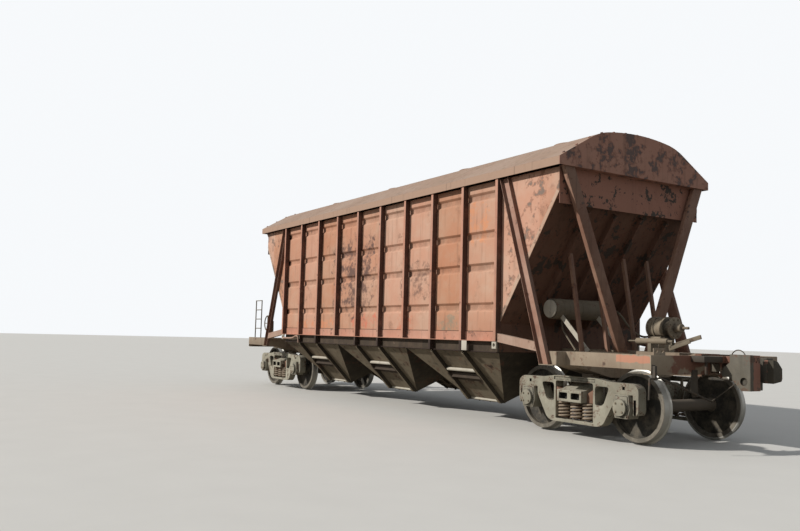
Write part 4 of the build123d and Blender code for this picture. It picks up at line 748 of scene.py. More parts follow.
# Hoppers: strong painted shade on the end faces that look along the wagon.
HOPPER = Finish("hopper_paint", rgb(0.45, 0.40, 0.33), rgb(0.56, 0.51, 0.43), rgb(0.28, 0.22, 0.18),
                dirt_and_shade=rgb(0.13, 0.11, 0.09), dust=rgb(0.56, 0.52, 0.45), fade=0.7, streaks=0.5, soot=0.6,
                peel=0.45, dusty=0.35, dust_high=0.9, painted_side_shade=0.85, patches=(
                    # Painted shade: a dark band along the hoppers' tops under the chord's flange, where its
                    # shadow falls.
                    Patch((-4.2, -1.75, 1.150), (4.2, 1.75, 1.33), rgb(0.22, 0.16, 0.13), 0.0),
                    # Painted shadow: a dark band under each hopper's round bar.
                    *(Patch((x - 0.45, -1.2, 0.640), (x + 0.45, 1.2, 0.805), rgb(0.24, 0.19, 0.15), 0.02)
                      for x in (-2.65, 0.0, 2.65))))
CAST = Finish("dusty_cast_steel", rgb(0.53, 0.51, 0.45), rgb(0.68, 0.66, 0.59), rgb(0.32, 0.25, 0.20),
              dirt_and_shade=rgb(0.15, 0.13, 0.12), fade=0.8, soot=0.8, peel=0.52, peel_scale=8.0, dusty=0.5,
              dust_low=-0.6, dust_high=0.8, dust=rgb(0.70, 0.67, 0.61), pits=0.8, bump=0.5, shade_and_grime=1.0)
SPRING = Finish("spring_steel", rgb(0.56, 0.49, 0.42), rgb(0.66, 0.60, 0.53), rgb(0.36, 0.23, 0.18),
                fade=0.5, peel=0.45, peel_scale=9.0, dusty=0.4)
WEDGE = Finish("rusty_wedge", rgb(0.48, 0.33, 0.26), rgb(0.54, 0.40, 0.33), rgb(0.30, 0.20, 0.16),
               fade=0.5, peel=0.4, peel_scale=9.0, dusty=0.2, shade_and_grime=0.6)
COUPLER = Finish("coupler_steel", rgb(0.31, 0.30, 0.27), rgb(0.42, 0.40, 0.36), rgb(0.34, 0.26, 0.22),
                 dirt_and_shade=rgb(0.16, 0.14, 0.12), fade=0.6, soot=0.75, peel=0.5, peel_scale=7.0, dusty=0.3,
                 pits=0.7, bump=0.5, shade_and_grime=0.7, patches=(
                     *Patch.pair((7.396, -0.60, 0.50), (7.80, 0.60, 1.50), rgb(0.21, 0.20, 0.17)),
                     *Patch.pair((7.35, -0.15, 0.60), (7.41, 0.10, 1.40), rgb(0.58, 0.40, 0.34), 0.03)))
FITTING = Finish("fitting_paint", rgb(0.44, 0.40, 0.34), rgb(0.54, 0.50, 0.43), rgb(0.27, 0.21, 0.18),
                 dirt_and_shade=rgb(0.14, 0.12, 0.10), fade=0.6, peel=0.42, peel_scale=8.0, dusty=0.6, shade_and_grime=0.5)
DRUM = Finish("brake_drum_paint", rgb(0.52, 0.47, 0.40), rgb(0.64, 0.59, 0.51), rgb(0.34, 0.27, 0.22),
              dirt_and_shade=rgb(0.14, 0.12, 0.10), fade=0.6, soot=0.5, peel=0.45, peel_scale=8.0, dusty=0.5, shade_and_grime=0.8)
DARK = Finish("dark_fitting", rgb(0.22, 0.20, 0.18), rgb(0.30, 0.27, 0.24), rgb(0.24, 0.17, 0.14),
              fade=0.5, peel=0.4, peel_scale=9.0, dusty=0.25)
PALE = Finish("pale_steel", rgb(0.74, 0.71, 0.65), rgb(0.82, 0.80, 0.75), rgb(0.48, 0.42, 0.36),
              fade=0.6, peel=0.3, peel_scale=9.0, dusty=0.3)
BOARD = Finish("weathered_board", rgb(0.52, 0.47, 0.41), rgb(0.62, 0.57, 0.50), rgb(0.40, 0.35, 0.30),
               dirt_and_shade=rgb(0.30, 0.26, 0.22), fade=0.6, peel=0.2, peel_scale=6.0, dusty=0.3, planked=True)
WHEEL = WheelFinish()

AnyFinish = Finish | WheelFinish

DRESS: dict[str, AnyFinish] = {
    "side_sheets": SALMON, "side_posts": POST, "roof": ROOF, "hatch_lid": ROOF, "gables": GABLE,
    "end_wall": SLOPE, "side_struts": STRUT, "end_struts": SHADED_BRACE, "slope_posts": SHADED_BRACE,
    "corner_beams": CORNER, "hopper": HOPPER, "door": HOPPER, "sill_saddle": HOPPER,
    "bogie_bolster": CAST, "side_frames": CAST, "axle_boxes": CAST, "brake_gear": FITTING,
    "springs": SPRING, "wheelset": WHEEL, "coupler": COUPLER, "running_boards": BOARD,
    "air_reservoir": FITTING, "brake_cylinder": DRUM, "slack_adjuster": FITTING,
    "hand_brake": FITTING, "ladder": FITTING, "uncoupling_gear": DARK, "tow_lugs": PALE,
}


class Wardrobe:
    """Builds each finish once and dresses nodes and pieces with it."""

    def __init__(self) -> None:
        """Build the shared effects."""
        self.effects = Effects()
        self.made: dict[str, bpy.types.Material] = {}

    def material(self, finish: AnyFinish) -> bpy.types.Material:
        """Give a finish's material, built on its first use.

        Args:
            finish: The finish.

        Returns:
            Its material.
        """
        if finish.name not in self.made:
            self.made[finish.name] = finish.build(self.effects)
        return self.made[finish.name]

    def dress(self, thing: Thing, finish: AnyFinish) -> None:
        """Give a whole object one finish."""
        thing.data.materials.clear()
        thing.data.materials.append(self.material(finish))

    def finish_of(self, name: str) -> AnyFinish:
        """The finish that goes with the start of a node's name."""
        return next((finish for start, finish in DRESS.items() if name.startswith(start)), FRAME)

    def dress_nodes(self, nodes: dict[str, Thing]) -> None:
        """Dress every frame node by the start of its name."""
        for name, thing in nodes.items():
            self.dress(thing, self.finish_of(name))


# Modelling


def offset_all(origin: Point, offsets: Run) -> list[Vector]:
    """Points at given offsets from an origin."""
    return [Vector(origin) + Vector(offset) for offset in offsets]


@dataclass(frozen=True)
class Rod:
    """A round or many-sided bar with chamfered ends."""

    start: Point
    end: Point
    radius: float
    sides: int = 16
    round_off: float = 0.002


@dataclass(frozen=True)
class Slab:
    """A block between its lowest and highest corner, with rounded edges."""

    low: Point
    high: Point
    round_off: float = 0.004
    segments: int = 2


class Bench:
    """Moves of Blender's own tools, each on the pieces that it is given."""

    @staticmethod
    def take(*things: Thing) -> None:
        """Select these pieces alone and make the first one active.

        Args:
            things: The pieces.
        """
        bpy.ops.object.select_all(action="DESELECT")
        for thing in things:
            thing.select_set(True)
        bpy.context.view_layer.objects.active = things[0]

    @classmethod
    def settle(cls, thing: Thing, name: str) -> Thing:
        """Put a piece's place into its mesh and name it.

        Args:
            thing: The piece.
            name: Its name.

        Returns:
            The same piece.
        """
        cls.take(thing)
        bpy.ops.object.transform_apply(location=True, rotation=True, scale=True)
        thing.name = thing.data.name = name
        return thing

    @classmethod
    def modify(cls, thing: Thing, kind: str, **settings: object) -> None:
        """Add one modifier, set it and apply it.

        Args:
            thing: The piece.
            kind: Blender's name of the modifier's type.
            settings: The modifier's settings.
        """
        cls.take(thing)
        modifier = thing.modifiers.new(kind.lower(), kind)
        for label, value in settings.items():
            setattr(modifier, label, value)
        bpy.ops.object.modifier_apply(modifier=modifier.name)

    @classmethod
    def bevel(cls, thing: Thing, width: float, segments: int = 2, **limit: float) -> None:
        """Round off a piece's sharp edges."""
        cls.modify(thing, "BEVEL", width=width, segments=segments, limit_method="ANGLE", **limit)

    @classmethod
    def smooth(cls, thing: Thing, degrees: float = SMOOTH_BELOW) -> None:
        """Shade a piece smooth, apart from edges sharper than an angle."""
        cls.take(thing)
        bpy.ops.object.shade_smooth_by_angle(angle=math.radians(degrees))

    @classmethod
    def slab(cls, spec: Slab, origin: Point = ORIGIN, smooth: bool = True) -> Thing:
        """Make a block with its edges rounded off.

        Args:
            spec: Its corners and rounding.
            origin: What the corners are measured from.
            smooth: Whether its rounding is shaded smooth.

        Returns:
            The block.
        """
        low, high = offset_all(origin, (spec.low, spec.high))
        bpy.ops.mesh.primitive_cube_add(size=1.0, location=(low + high) / 2)
        bpy.context.object.scale = high - low
        thing = cls.settle(bpy.context.object, "slab")
        cls.bevel(thing, spec.round_off, spec.segments)
        if smooth:
            cls.smooth(thing)
        return thing

    @classmethod
    def rod(cls, spec: Rod, origin: Point = ORIGIN) -> Thing:
        """Make a bar between two points.

        Args:
            spec: Its ends, radius, sides and rounding.
            origin: What the ends are measured from.

        Returns:
            The bar.
        """
        start, end = offset_all(origin, (spec.start, spec.end))
        bpy.ops.mesh.primitive_cylinder_add(
            vertices=spec.sides, radius=spec.radius, depth=(end - start).length, location=(start + end) / 2,
            rotation=(end - start).to_track_quat("Z", "Y").to_euler())
        thing = cls.settle(bpy.context.object, "rod")
        cls.bevel(thing, spec.round_off, angle_limit=ROD_EDGE)
        cls.smooth(thing)
        return thing

    @classmethod
    def ring(cls, centre: Point, radius: float, wire: float) -> Thing:
        """Make a round ring that lies flat.

        Args:
            centre: The ring's middle.
            radius: From the middle to the wire's own middle.
            wire: The wire's radius.

        Returns:
            The ring.
        """
        bpy.ops.mesh.primitive_torus_add(location=centre, major_radius=radius, minor_radius=wire,
                                         major_segments=40, minor_segments=10)
        thing = cls.settle(bpy.context.object, "ring")
        cls.smooth(thing, RING_SMOOTH_BELOW)
        return thing

    @classmethod
    def pipe(cls, name: str, points: list[Point], radius: float) -> Thing:
        """Make a bent pipe along a smooth line, with closed ends.

        Args:
            name: The piece's name.
            points: Where the line goes.
            radius: The pipe's radius.

        Returns:
            The pipe.
        """
        data = bpy.data.curves.new(name, "CURVE")
        data.dimensions = "3D"
        data.bevel_depth = radius
        data.bevel_resolution = 3
        data.use_fill_caps = True
        spline = data.splines.new("NURBS")
        spline.points.add(len(points) - 1)
        for knot, point in zip(spline.points, points):
            knot.co = (*point, 1.0)
        spline.order_u = 3
        spline.use_endpoint_u = True
        cls.take(cls.show(data, name))
        bpy.ops.object.convert(target="MESH")
        thing = cls.settle(bpy.context.object, name)
        cls.smooth(thing, TUBE_SMOOTH_BELOW)
        return thing

    @staticmethod
    def show(data: bpy.types.ID, name: str) -> Thing:
        """Put a mesh, a curve, a lamp or a camera into the scene.

        Args:
            data: What the object holds.
            name: The object's name.

        Returns:
            The new object.
        """
        thing = bpy.data.objects.new(name, data)
        bpy.context.scene.collection.objects.link(thing)
        return thing

    @classmethod
    def node_copy(cls, node: Thing, name: str) -> Thing:
        """Copy a frame node, with its doubles merged and its flat faces joined.

        Args:
            node: The frame node.
            name: The copy's name.

        Returns:
            The copy.
        """
        thing = cls.show(node.data.copy(), name)
        cls.take(thing)
        bpy.ops.mesh.customdata_custom_splitnormals_clear()
        bpy.ops.object.mode_set(mode="EDIT")
        bpy.ops.mesh.select_all(action="SELECT")
        bpy.ops.mesh.remove_doubles(threshold=DOUBLE_GAP)
        bpy.ops.mesh.dissolve_limited(angle_limit=FLAT_ANGLE)
        bpy.ops.object.mode_set(mode="OBJECT")
        return thing

    @classmethod
    def copies(cls, pattern: Thing, name: str, places: list[Matrix]) -> Thing:
        """Copy a pattern piece to each place, with a mesh of its own, and join the copies.

        Args:
            pattern: The piece to copy. It goes afterwards.
            name: The joined piece's name.
            places: Where the copies go.

        Returns:
            The joined piece.
        """
        made = []
        for place in places:
            made.append(cls.show(pattern.data.copy(), name))
            made[-1].data.transform(place)
        bpy.data.objects.remove(pattern)
        return cls.join(name, made)

    @classmethod
    def join(cls, name: str, things: list[Thing]) -> Thing:
        """Join pieces of one finish into one object.

        Args:
            name: The joined piece's name.
            things: The pieces.

        Returns:
            The joined piece.
        """
        cls.take(*things)
        bpy.ops.object.join()
        bpy.context.object.name = name
        return bpy.context.object


def aim(point: Point, way: Point) -> Matrix:
    """Where a pattern piece goes, its Z axis turned along a direction."""
    return Matrix.Translation(Vector(point)) @ Vector(way).to_track_quat("Z", "Y").to_matrix().to_4x4()


def slant(point: Point, angle: float) -> Matrix:
    """Where a pattern piece goes, turned about the wagon's cross axis."""
    return Matrix.Translation(point) @ Matrix.Rotation(angle, 4, "Y")


def bolt_circle(centre: Point, way: Triple, radius: float, count: int) -> list[Matrix]:
    """Place bolts evenly on an upright circle.

    Args:
        centre: The circle's middle.
        way: Where the bolts' heads look, along or across the wagon.
        radius: The circle's radius.
        count: How many bolts there are.

    Returns:
        One place for each bolt.
    """
    level, places = Vector((abs(way[1]), abs(way[0]), 0.0)), []
    for n in range(count):
        turn = (n + 0.5) * 2 * math.pi / count
        spoke = level * math.cos(turn) + Vector((0.0, 0.0, math.sin(turn)))
        places.append(aim(Vector(centre) + spoke * radius, way))
    return places


@dataclass
class Workshop:
    """What every sub-assembly needs: the frame's nodes and the wardrobe."""

    nodes: dict[str, Thing]
    wardrobe: Wardrobe

    def add(self, thing: Thing, finish: AnyFinish, slot: Slot, body: str = WAGON) -> Thing:
        """Dress a piece and let it ride on its body.

        Args:
            thing: The piece.
            finish: Its finish.
            slot: Its material slot; not used.
            body: The body that carries it.

        Returns:
            The same piece.
        """
        self.wardrobe.dress(thing, finish)
        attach(thing, body)
        LOG.info("%s rides on %s", thing.name, body)
        return thing

    def stand_in(self, thing: Thing, node: str, finish: AnyFinish, slot: Slot, body: str) -> None:
        """Add a piece that is seen in place of a frame node."""
        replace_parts(self.add(thing, finish, slot, body), node)

    def soften(self, node: str, width: float, slot: Slot, body: str = WAGON,
               segments: int = 2, degrees: float = SMOOTH_BELOW) -> None:
        """Stand a copy with rounded edges in for a frame node.

        Args:
            node: The frame node's name.
            width: How far the edges are rounded; none at 0.
            slot: The material slot.
            body: The body that carries it.
            segments: Steps of the rounding.
            degrees: Edges sharper than this aren't shaded smooth.
        """
        thing = Bench.node_copy(self.nodes[node], f"{node}_rounded")
        if width > 0:
            Bench.bevel(thing, width, segments, angle_limit=NODE_EDGE)
        Bench.smooth(thing, degrees)
        self.stand_in(thing, node, self.wardrobe.finish_of(node), slot, body)


# Sub-assemblies


@dataclass
class SpringNest:
    """Coil springs and friction wedges of one bogie, in place of the plain columns."""

    shop: Workshop
    end: str
    pitch: float = 0.242
    across: float = 1.018
    height: float = 0.263
    outer_radius: float = 0.088
    outer_wire: float = 0.0155
    inner_radius: float = 0.052
    inner_wire: float = 0.010
    outer_turns: int = 5
    inner_turns: int = 8
    wire_sides: int = 10
    steps: int = 22
    wedge_rounding: float = 0.006
    clearance: float = 0.00015

    def coil(self, name: str, radius: float, wire: float, turns: int) -> Thing:
        """Make one closed helical coil standing on the origin.

        Args:
            name: The coil's name.
            radius: From the coil's axis to the wire's middle.
            wire: The wire's radius.
            turns: How often it goes round.

        Returns:
            The coil.
        """
        bpy.ops.mesh.primitive_circle_add(vertices=self.wire_sides, radius=wire, location=(radius, 0.0, wire),
                                          rotation=(math.pi / 2, 0.0, 0.0))
        thing = Bench.settle(bpy.context.object, name)
        Bench.modify(thing, "SCREW", angle=2 * math.pi, screw_offset=(self.height - 2 * wire) / turns,
                     iterations=turns, steps=self.steps, render_steps=self.steps, use_merge_vertices=False)
        bpy.ops.object.mode_set(mode="EDIT")
        bpy.ops.mesh.select_all(action="SELECT")
        bpy.ops.mesh.fill_holes(sides=0)
        bpy.ops.mesh.select_all(action="SELECT")
        bpy.ops.mesh.normals_make_consistent(inside=False)
        bpy.ops.object.mode_set(mode="OBJECT")
        Bench.smooth(thing, TUBE_SMOOTH_BELOW)
        return thing

    def wedges(self, node: str) -> Thing:
        """Cut the four wedges free from a copy of the node.

        Args:
            node: The spring node's name.

        Returns:
            The wedges.
        """
        thing = Bench.node_copy(self.shop.nodes[node], f"friction_wedges_{self.end}")
        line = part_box(node)[0].z + self.height + self.clearance
        points = thing.data.vertices
        for vertex in points:
            vertex.select = vertex.co.z < line
        for part in (*thing.data.edges, *thing.data.polygons):
            part.select = all(points[i].select for i in part.vertices)
        Bench.take(thing)
        bpy.ops.object.mode_set(mode="EDIT")
        bpy.ops.mesh.delete(type="VERT")
        bpy.ops.object.mode_set(mode="OBJECT")
        Bench.bevel(thing, self.wedge_rounding)
        Bench.smooth(thing)
        return thing

    def build(self) -> None:
        """Stand the coils and wedges in for the spring node."""
        node, body = f"springs_{self.end}", f"bogie_{self.end}"
        low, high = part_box(node)
        middle = (low.x + high.x) / 2
        places = [Matrix.Translation((middle + n * self.pitch, side * self.across, low.z))
                  for n in (-1, 0, 1) for side in (-1, 1)]
        for label, radius, wire, turns, finish in (
                ("outer", self.outer_radius, self.outer_wire, self.outer_turns, SPRING),
                ("inner", self.inner_radius, self.inner_wire, self.inner_turns, WEDGE)):
            pattern = self.coil(f"{label}_coil", radius, wire, turns)
            coils = Bench.copies(pattern, f"{label}_coils_{self.end}", places)
            self.shop.stand_in(coils, node, finish, Slot.SPRING, body)
        self.shop.stand_in(self.wedges(node), node, WEDGE, Slot.SPRING, body)


@dataclass
class Wheelset:
    """One wheelset with smooth treads and its steel banded by radius."""

    shop: Workshop
    node: str
    crease: float = 24.0

    def build(self) -> None:
        """Stand a smooth, banded copy in for the wheelset node."""
        low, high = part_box(self.node)
        axle = (low + high) / 2
        thing = Bench.node_copy(self.shop.nodes[self.node], f"{self.node}_smooth")
        Bench.smooth(thing, self.crease)
        band = thing.data.attributes.new("from_axle", "FLOAT_VECTOR", "POINT")
        values = [c for v in thing.data.vertices for c in (v.co.x - axle.x, 0.0, v.co.z - axle.z)]
        band.data.foreach_set("vector", values)
        self.shop.stand_in(thing, self.node, WHEEL, Slot.WHEEL, self.node)


@dataclass
class Bogie:
    """Castings, covers and bolts of one bogie."""

    shop: Workshop
    end: str
    bolt: Rod = Rod((0.0, 0.0, -0.004), (0.0, 0.0, 0.012), 0.015, 6)
    bolt_circle: float = 0.078
    cover_bolts: int = 4
    frame_rounding: float = 0.011
    bolster_rounding: float = 0.010
    box_rounding: float = 0.008
    gear_rounding: float = 0.004

    def cover_bolt_places(self) -> list[Matrix]:
        """Find the places of the bolts round each axle box's cover.

        Returns:
            One place for each bolt.
        """
        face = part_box(f"axle_boxes_{self.end}")[1].y
        places = []
        for axle in AXLES:
            low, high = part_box(f"wheelset_{self.end}_{axle}")
            for side in (-1.0, 1.0):
                centre = ((low.x + high.x) / 2, side * face, (low.z + high.z) / 2)
                places += bolt_circle(centre, (0.0, side, 0.0), self.bolt_circle, self.cover_bolts)
        return places

    def build(self) -> None:
        """Round the castings' edges and add the bolts, the springs and the wheelsets."""
        body = f"bogie_{self.end}"
        for part, width, segments in (("side_frames", self.frame_rounding, 3),
                                      ("bogie_bolster", self.bolster_rounding, 2),
                                      ("axle_boxes", self.box_rounding, 2),
                                      ("brake_gear", self.gear_rounding, 2)):
            self.shop.soften(f"{part}_{self.end}", width, Slot.CAST, body, segments)
        bolts = Bench.copies(Bench.rod(self.bolt), f"cover_bolts_{self.end}", self.cover_bolt_places())
        self.shop.add(bolts, FITTING, Slot.CAST, body)
        SpringNest(self.shop, self.end).build()
        for axle in AXLES:
            Wheelset(self.shop, f"wheelset_{self.end}_{axle}").build()


@dataclass
class Shell:
    """The body's rounded sheets, its edge plates and the bolts along the roof's arch."""

    shop: Workshop
    slope_top: tuple[float, float] = (5.268, 3.485)
    slope_foot: tuple[float, float] = (3.976, 1.599)
    edge_width: float = 0.062
    edge_trim: float = 0.75
    plate_thick: float = 0.003
    plate_rounding: float = 0.001
    sheet_y: float = 1.5
    sheet_rounding: float = 0.010
    post_rounding: float = 0.005
    roof_crease: float = 20.0
    bolt_pitch: float = 0.24
    bolt_reach: float = 1.50
    bolt_in: float = 0.035
    bolt: Rod = Rod((0.0, 0.0, -0.006), (0.0, 0.0, 0.016), 0.020, 10, 0.005)

    def edge_plates(self) -> Thing:
        """Make the thin plates along the slanting edges of the end sheets.

        Returns:
            The four plates.
        """
        (x0, z0), (x1, z1) = self.slope_top, self.slope_foot
        run = Vector((x1 - x0, 0.0, z1 - z0))
        inward = Vector((run.z, 0.0, -run.x)).normalized()
        length = run.length - self.edge_width * self.edge_trim
        half = Vector((length, self.plate_thick, self.edge_width)) / 2
        plate = Bench.slab(Slab(-half, half, self.plate_rounding, 1), smooth=False)
        angle = math.atan2(-run.z, run.x)
        centre = Vector((x0, 0.0, z0)) + run.normalized() * (length / 2) + inward * (self.edge_width / 2)
        out = self.sheet_y + self.plate_thick / 2
        places = [slant((way * centre.x, side * out, centre.z), way * angle)
                  for way in (-1, 1) for side in (-1, 1)]
        return Bench.copies(plate, "edge_plates", places)

    def arch_bolts(self) -> Thing:
        """Set round bolt heads along both ends of the roof, standing square on the arch.

        Returns:
            The bolt heads.
        """
        mesh = self.shop.nodes["roof"].data
        roof = BVHTree.FromPolygons([v.co for v in mesh.vertices], [f.vertices[:] for f in mesh.polygons])
        low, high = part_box("roof")
        places = []
        count = int(2 * self.bolt_reach / self.bolt_pitch)
        for n in range(count + 1):
            y = -self.bolt_reach + n * 2 * self.bolt_reach / count
            for x in (low.x + self.bolt_in, high.x - self.bolt_in):
                spot, normal, _, _ = roof.ray_cast(Vector((x, y, high.z + 1.0)), Vector((0.0, 0.0, -1.0)))
                if spot:
                    places.append(aim(spot, normal if normal.z > 0 else -normal))
        return Bench.copies(Bench.rod(self.bolt), "arch_bolts", places)

    def build(self) -> None:
        """Round the sheets and add the plates and bolts."""
        for side in ("left", "right"):
            self.shop.soften(f"side_sheets_{side}", self.sheet_rounding, Slot.SALMON)
            self.shop.soften(f"side_posts_{side}", self.post_rounding, Slot.SALMON)
        self.shop.soften("roof", 0.0, Slot.ROOF, degrees=self.roof_crease)
        self.shop.add(self.edge_plates(), BAND, Slot.SALMON)
        self.shop.add(self.arch_bolts(), GABLE, Slot.BROWN)


@dataclass
class Hoppers:
    """Rib tails, round bars and outlet lips, alike on every hopper and side, and hanging tags at the end
    hoppers.
    """

    shop: Workshop
    names: tuple[str, ...] = ("near", "middle", "far")
    crease: float = 20.0
    rib_x: float = 0.442
    tail: Slab = Slab((-0.030, -1.599, 1.160), (0.030, -1.502, 1.327))
    bar: Rod = Rod((-0.405, -1.222, 0.832), (0.405, -1.222, 0.832), 0.030, 20, 0.012)
    tag: Slab = Slab((3.148, -1.606, 1.172), (3.285, -1.598, 1.327), 0.003)
    lip: Slab = Slab((-0.442, -0.698, 0.311), (0.442, -0.678, 0.345))

    def places(self, offsets: tuple[float, ...] = (0.0,)) -> list[Matrix]:
        """Find where a pattern for the -Y side goes, on both sides of each hopper.

        Args:
            offsets: How far from the hopper's middle the pattern goes, along the wagon.

        Returns:
            One place for each copy.
        """
        found = []
        for name in self.names:
            low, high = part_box(f"hopper_{name}")
            for offset in offsets:
                at = Matrix.Translation(((low.x + high.x) / 2 + offset, 0.0, 0.0))
                found += [at, at @ HALF_TURN]
        return found

    def tails(self) -> Thing:
        """The ribs' upper ends, cut off under the side sill."""
        tail = Bench.slab(self.tail, smooth=False)
        return Bench.copies(tail, "rib_tails", self.places((-self.rib_x, self.rib_x)))

    def bars(self) -> Thing:
        """The round bars between the ribs at half height."""
        return Bench.copies(Bench.rod(self.bar), "hopper_bars", self.places())

    def tags(self) -> Thing:
        """The bare plates that hang from the side sill between two ribs of the end hoppers."""
        return Bench.copies(Bench.slab(self.tag), "hanging_tags", BOTH_ENDS)

    def lips(self) -> Thing:
        """The flat lips along the outlets' outer edges."""
        return Bench.copies(Bench.slab(self.lip), "outlet_lips", self.places())

    def build(self) -> None:
        """Add every hopper's pieces."""
        for name in self.names:
            self.shop.soften(f"hopper_{name}", 0.0, Slot.HOPPER, degrees=self.crease)
        self.shop.add(self.tails(), HOPPER, Slot.HOPPER)
        for make in (self.tags, self.bars, self.lips):
            self.shop.add(make(), PALE, Slot.HOPPER)


@dataclass
class Hatch:
    """A lid's handle, latch and rim bead."""

    shop: Workshop
    number: int
    crease: float = 24.0
    skirt: float = 0.322
    bead: float = 0.006
    bead_in: float = 0.002
    bead_up: float = 0.022
    hasp: Slab = Slab((-0.030, -0.022, 0.012), (0.030, 0.030, 0.026))
    pin: Rod = Rod((-0.045, -0.014, 0.019), (0.045, -0.014, 0.019), 0.007)

    def build(self) -> None:
        """Add the pieces to the lid."""
        node, body = f"hatch_lid_{self.number}", f"lid_{self.number}"
        low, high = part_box(node)
        middle = Vector(((low.x + high.x) / 2, 0.0, low.z))
        front = middle - Vector((0.0, self.skirt, 0.0))
        self.shop.soften(node, 0.0, Slot.ROOF, body, degrees=self.crease)
        bead = Bench.ring(middle + Vector((0.0, 0.0, self.bead_up)), self.skirt - self.bead_in, self.bead)
        parts = [bead, Bench.slab(self.hasp, front), Bench.rod(self.pin, front)]
        self.shop.add(Bench.join(f"lid_fittings_{self.number}", parts), ROOF, Slot.ROOF, body)


@dataclass
class EndGear:
    """Rounded couplers and end fittings, with reservoir bands, cylinder bolts and pipes."""

    shop: Workshop
    coupler_rounding: float = 0.012
    strut_rounding: float = 0.006
    platform_rounding: float = 0.004
    fitting_rounding: float = 0.003
    tank_radius: float = 0.155
    band_y: tuple[float, ...] = (-0.76, 0.0, -0.38)
    band: Rod = Rod((0.0, -0.0225, 0.0), (0.0, 0.0225, 0.0), 0.160, 48, 0.003)
    drain: Rod = Rod((0.0, -0.55, -0.20), (0.0, -0.55, -0.14), 0.014, 10)
    leg_y: tuple[float, float] = (-0.80, -0.04)
    leg_head: Triple = (0.10, 0.0, -0.11)
    leg_foot: Triple = (5.16, 0.0, 1.215)
    leg_thick: float = 0.012
    leg_width: float = 0.075
    disc: Rod = Rod((0.0, -0.020, 0.0), (0.0, 0.006, 0.0), 0.136, 48, 0.006)
    plug: Rod = Rod((0.0, 0.0, -0.05), (0.0, 0.022, -0.05), 0.018, 6)
    lip: Slab = Slab((6.75, -0.56, 1.138), (6.958, -0.05, 1.222), 0.012)
    pin: Rod = Rod((6.908, -0.46, 0.978), (6.908, -0.46, 1.148), 0.018, 12)
    feed_start: Run = ((0.0, -0.02, 0.0), (0.0, 0.10, 0.0), (0.1, 0.16, 0.0), (0.35, 0.16, -0.30))
    feed_bend: Run = ((0.75, -0.1, -0.42),)
    feed_end: Run = ((-0.02, 0.0, -0.32), (0.02, 0.0, -0.26))
    feed_across: float = 0.26
    feed_radius: float = 0.016
    drop_run: Run = ((0.0, 0.25, -0.14), (0.0, 0.25, -0.30), (0.12, 0.25, -0.42), (0.30, 0.25, -0.62))
    drop_radius: float = 0.014
    far_run: Run = ((-3.95, -1.583, 1.245), (-3.60, -1.583, 1.240), (-3.36, -1.583, 1.255),
                    (-3.26, -1.583, 1.298), (-3.12, -1.583, 1.298), (-3.08, -1.583, 1.245),
                    (-3.08, -1.583, 1.150))
    far_radius: float = 0.021
    flange_in: float = 0.432
    flange_y: float = 0.300
    flange_down: float = 0.164
    flange_circle: float = 0.128
    flange_bolts: int = 8
    bolt: Rod = Rod((0.0, 0.0, -0.004), (0.0, 0.0, 0.014), 0.014, 6)
    sleeve: Rod = Rod((5.62, -0.30, 1.394), (6.17, -0.30, 1.394), 0.042, 28, 0.008)

    def tank(self) -> Vector:
        """The tank's axis where it crosses the wagon's centre line."""
        low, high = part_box("air_reservoir")
        return Vector((low.x + self.tank_radius, 0.0, high.z - self.tank_radius))

    def tank_ends(self) -> list[Vector]:
        """The middles of the tank's ends, at -Y and at +Y."""
        return [self.tank() + Vector((0.0, corner.y, 0.0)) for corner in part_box("air_reservoir")]

    def reservoir(self) -> Thing:
        """Put bands round the tank and a drain cock under it.

        Returns:
            The bands and the cock.
        """
        places = [Matrix.Translation(self.tank() + Vector((0.0, y, 0.0))) for y in self.band_y]
        bands = Bench.copies(Bench.rod(self.band), "bands", places)
        return Bench.join("tank_bands", [bands, Bench.rod(self.drain, self.tank())])

    def leg_plates(self) -> Thing:
        """Make the wide flat plates along the tank's two slanting legs.

        Returns:
            The two plates.
        """
        start, end = self.tank() + Vector(self.leg_head), Vector(self.leg_foot)
        run = end - start
        half = Vector((run.length, self.leg_thick, self.leg_width)) / 2
        plate = Bench.slab(Slab(-half, half, self.fitting_rounding), smooth=False)
        middle, angle = (start + end) / 2, math.atan2(-run.z, run.x)
        places = [slant((middle.x, y, middle.z), angle) for y in self.leg_y]
        return Bench.copies(plate, "tank_leg_plates", places)

    def tank_heads(self) -> Thing:
        """Make the tank's pale end discs, each with a plug.

        Returns:
            The discs and plugs.
        """
        head = Bench.join("tank_head", [Bench.rod(self.disc), Bench.rod(self.plug)])
        low, high = (Matrix.Translation(end) for end in self.tank_ends())
        return Bench.copies(head, "tank_heads", [low @ HALF_TURN, high])

    def striker_lips(self) -> Thing:
        """The thick lips over the couplers' mouths, each with a pin."""
        lip = Bench.join("striker_lip", [Bench.slab(self.lip), Bench.rod(self.pin)])
        return Bench.copies(lip, "striker_lips", BOTH_ENDS)

    def pipes(self) -> Thing:
        """Lay air pipes from the tank to the brake cylinder and on down to the sill.

        Returns:
            The two pipes.
        """
        tank, (low, high) = self.tank(), self.tank_ends()
        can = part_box("brake_cylinder")[0]
        across = Vector((0.0, can.y + self.feed_across, 0.0))
        feed = offset_all(high, self.feed_start) + offset_all(tank + across, self.feed_bend)
        feed += offset_all(Vector((can.x, 0.0, tank.z)) + across, self.feed_end)
        return Bench.join("air_pipes", [
            Bench.pipe("feed", feed, self.feed_radius),
            Bench.pipe("drop", offset_all(low, self.drop_run), self.drop_radius),
        ])

    def cylinder_bolts(self) -> Thing:
        """Set bolt heads round the cylinder's front head.

        Returns:
            The bolt heads.
        """
        low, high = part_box("brake_cylinder")
        centre = (low.x + self.flange_in, self.flange_y, high.z - self.flange_down)
        places = bolt_circle(centre, (1.0, 0.0, 0.0), self.flange_circle, self.flange_bolts)
        return Bench.copies(Bench.rod(self.bolt), "cylinder_bolts", places)

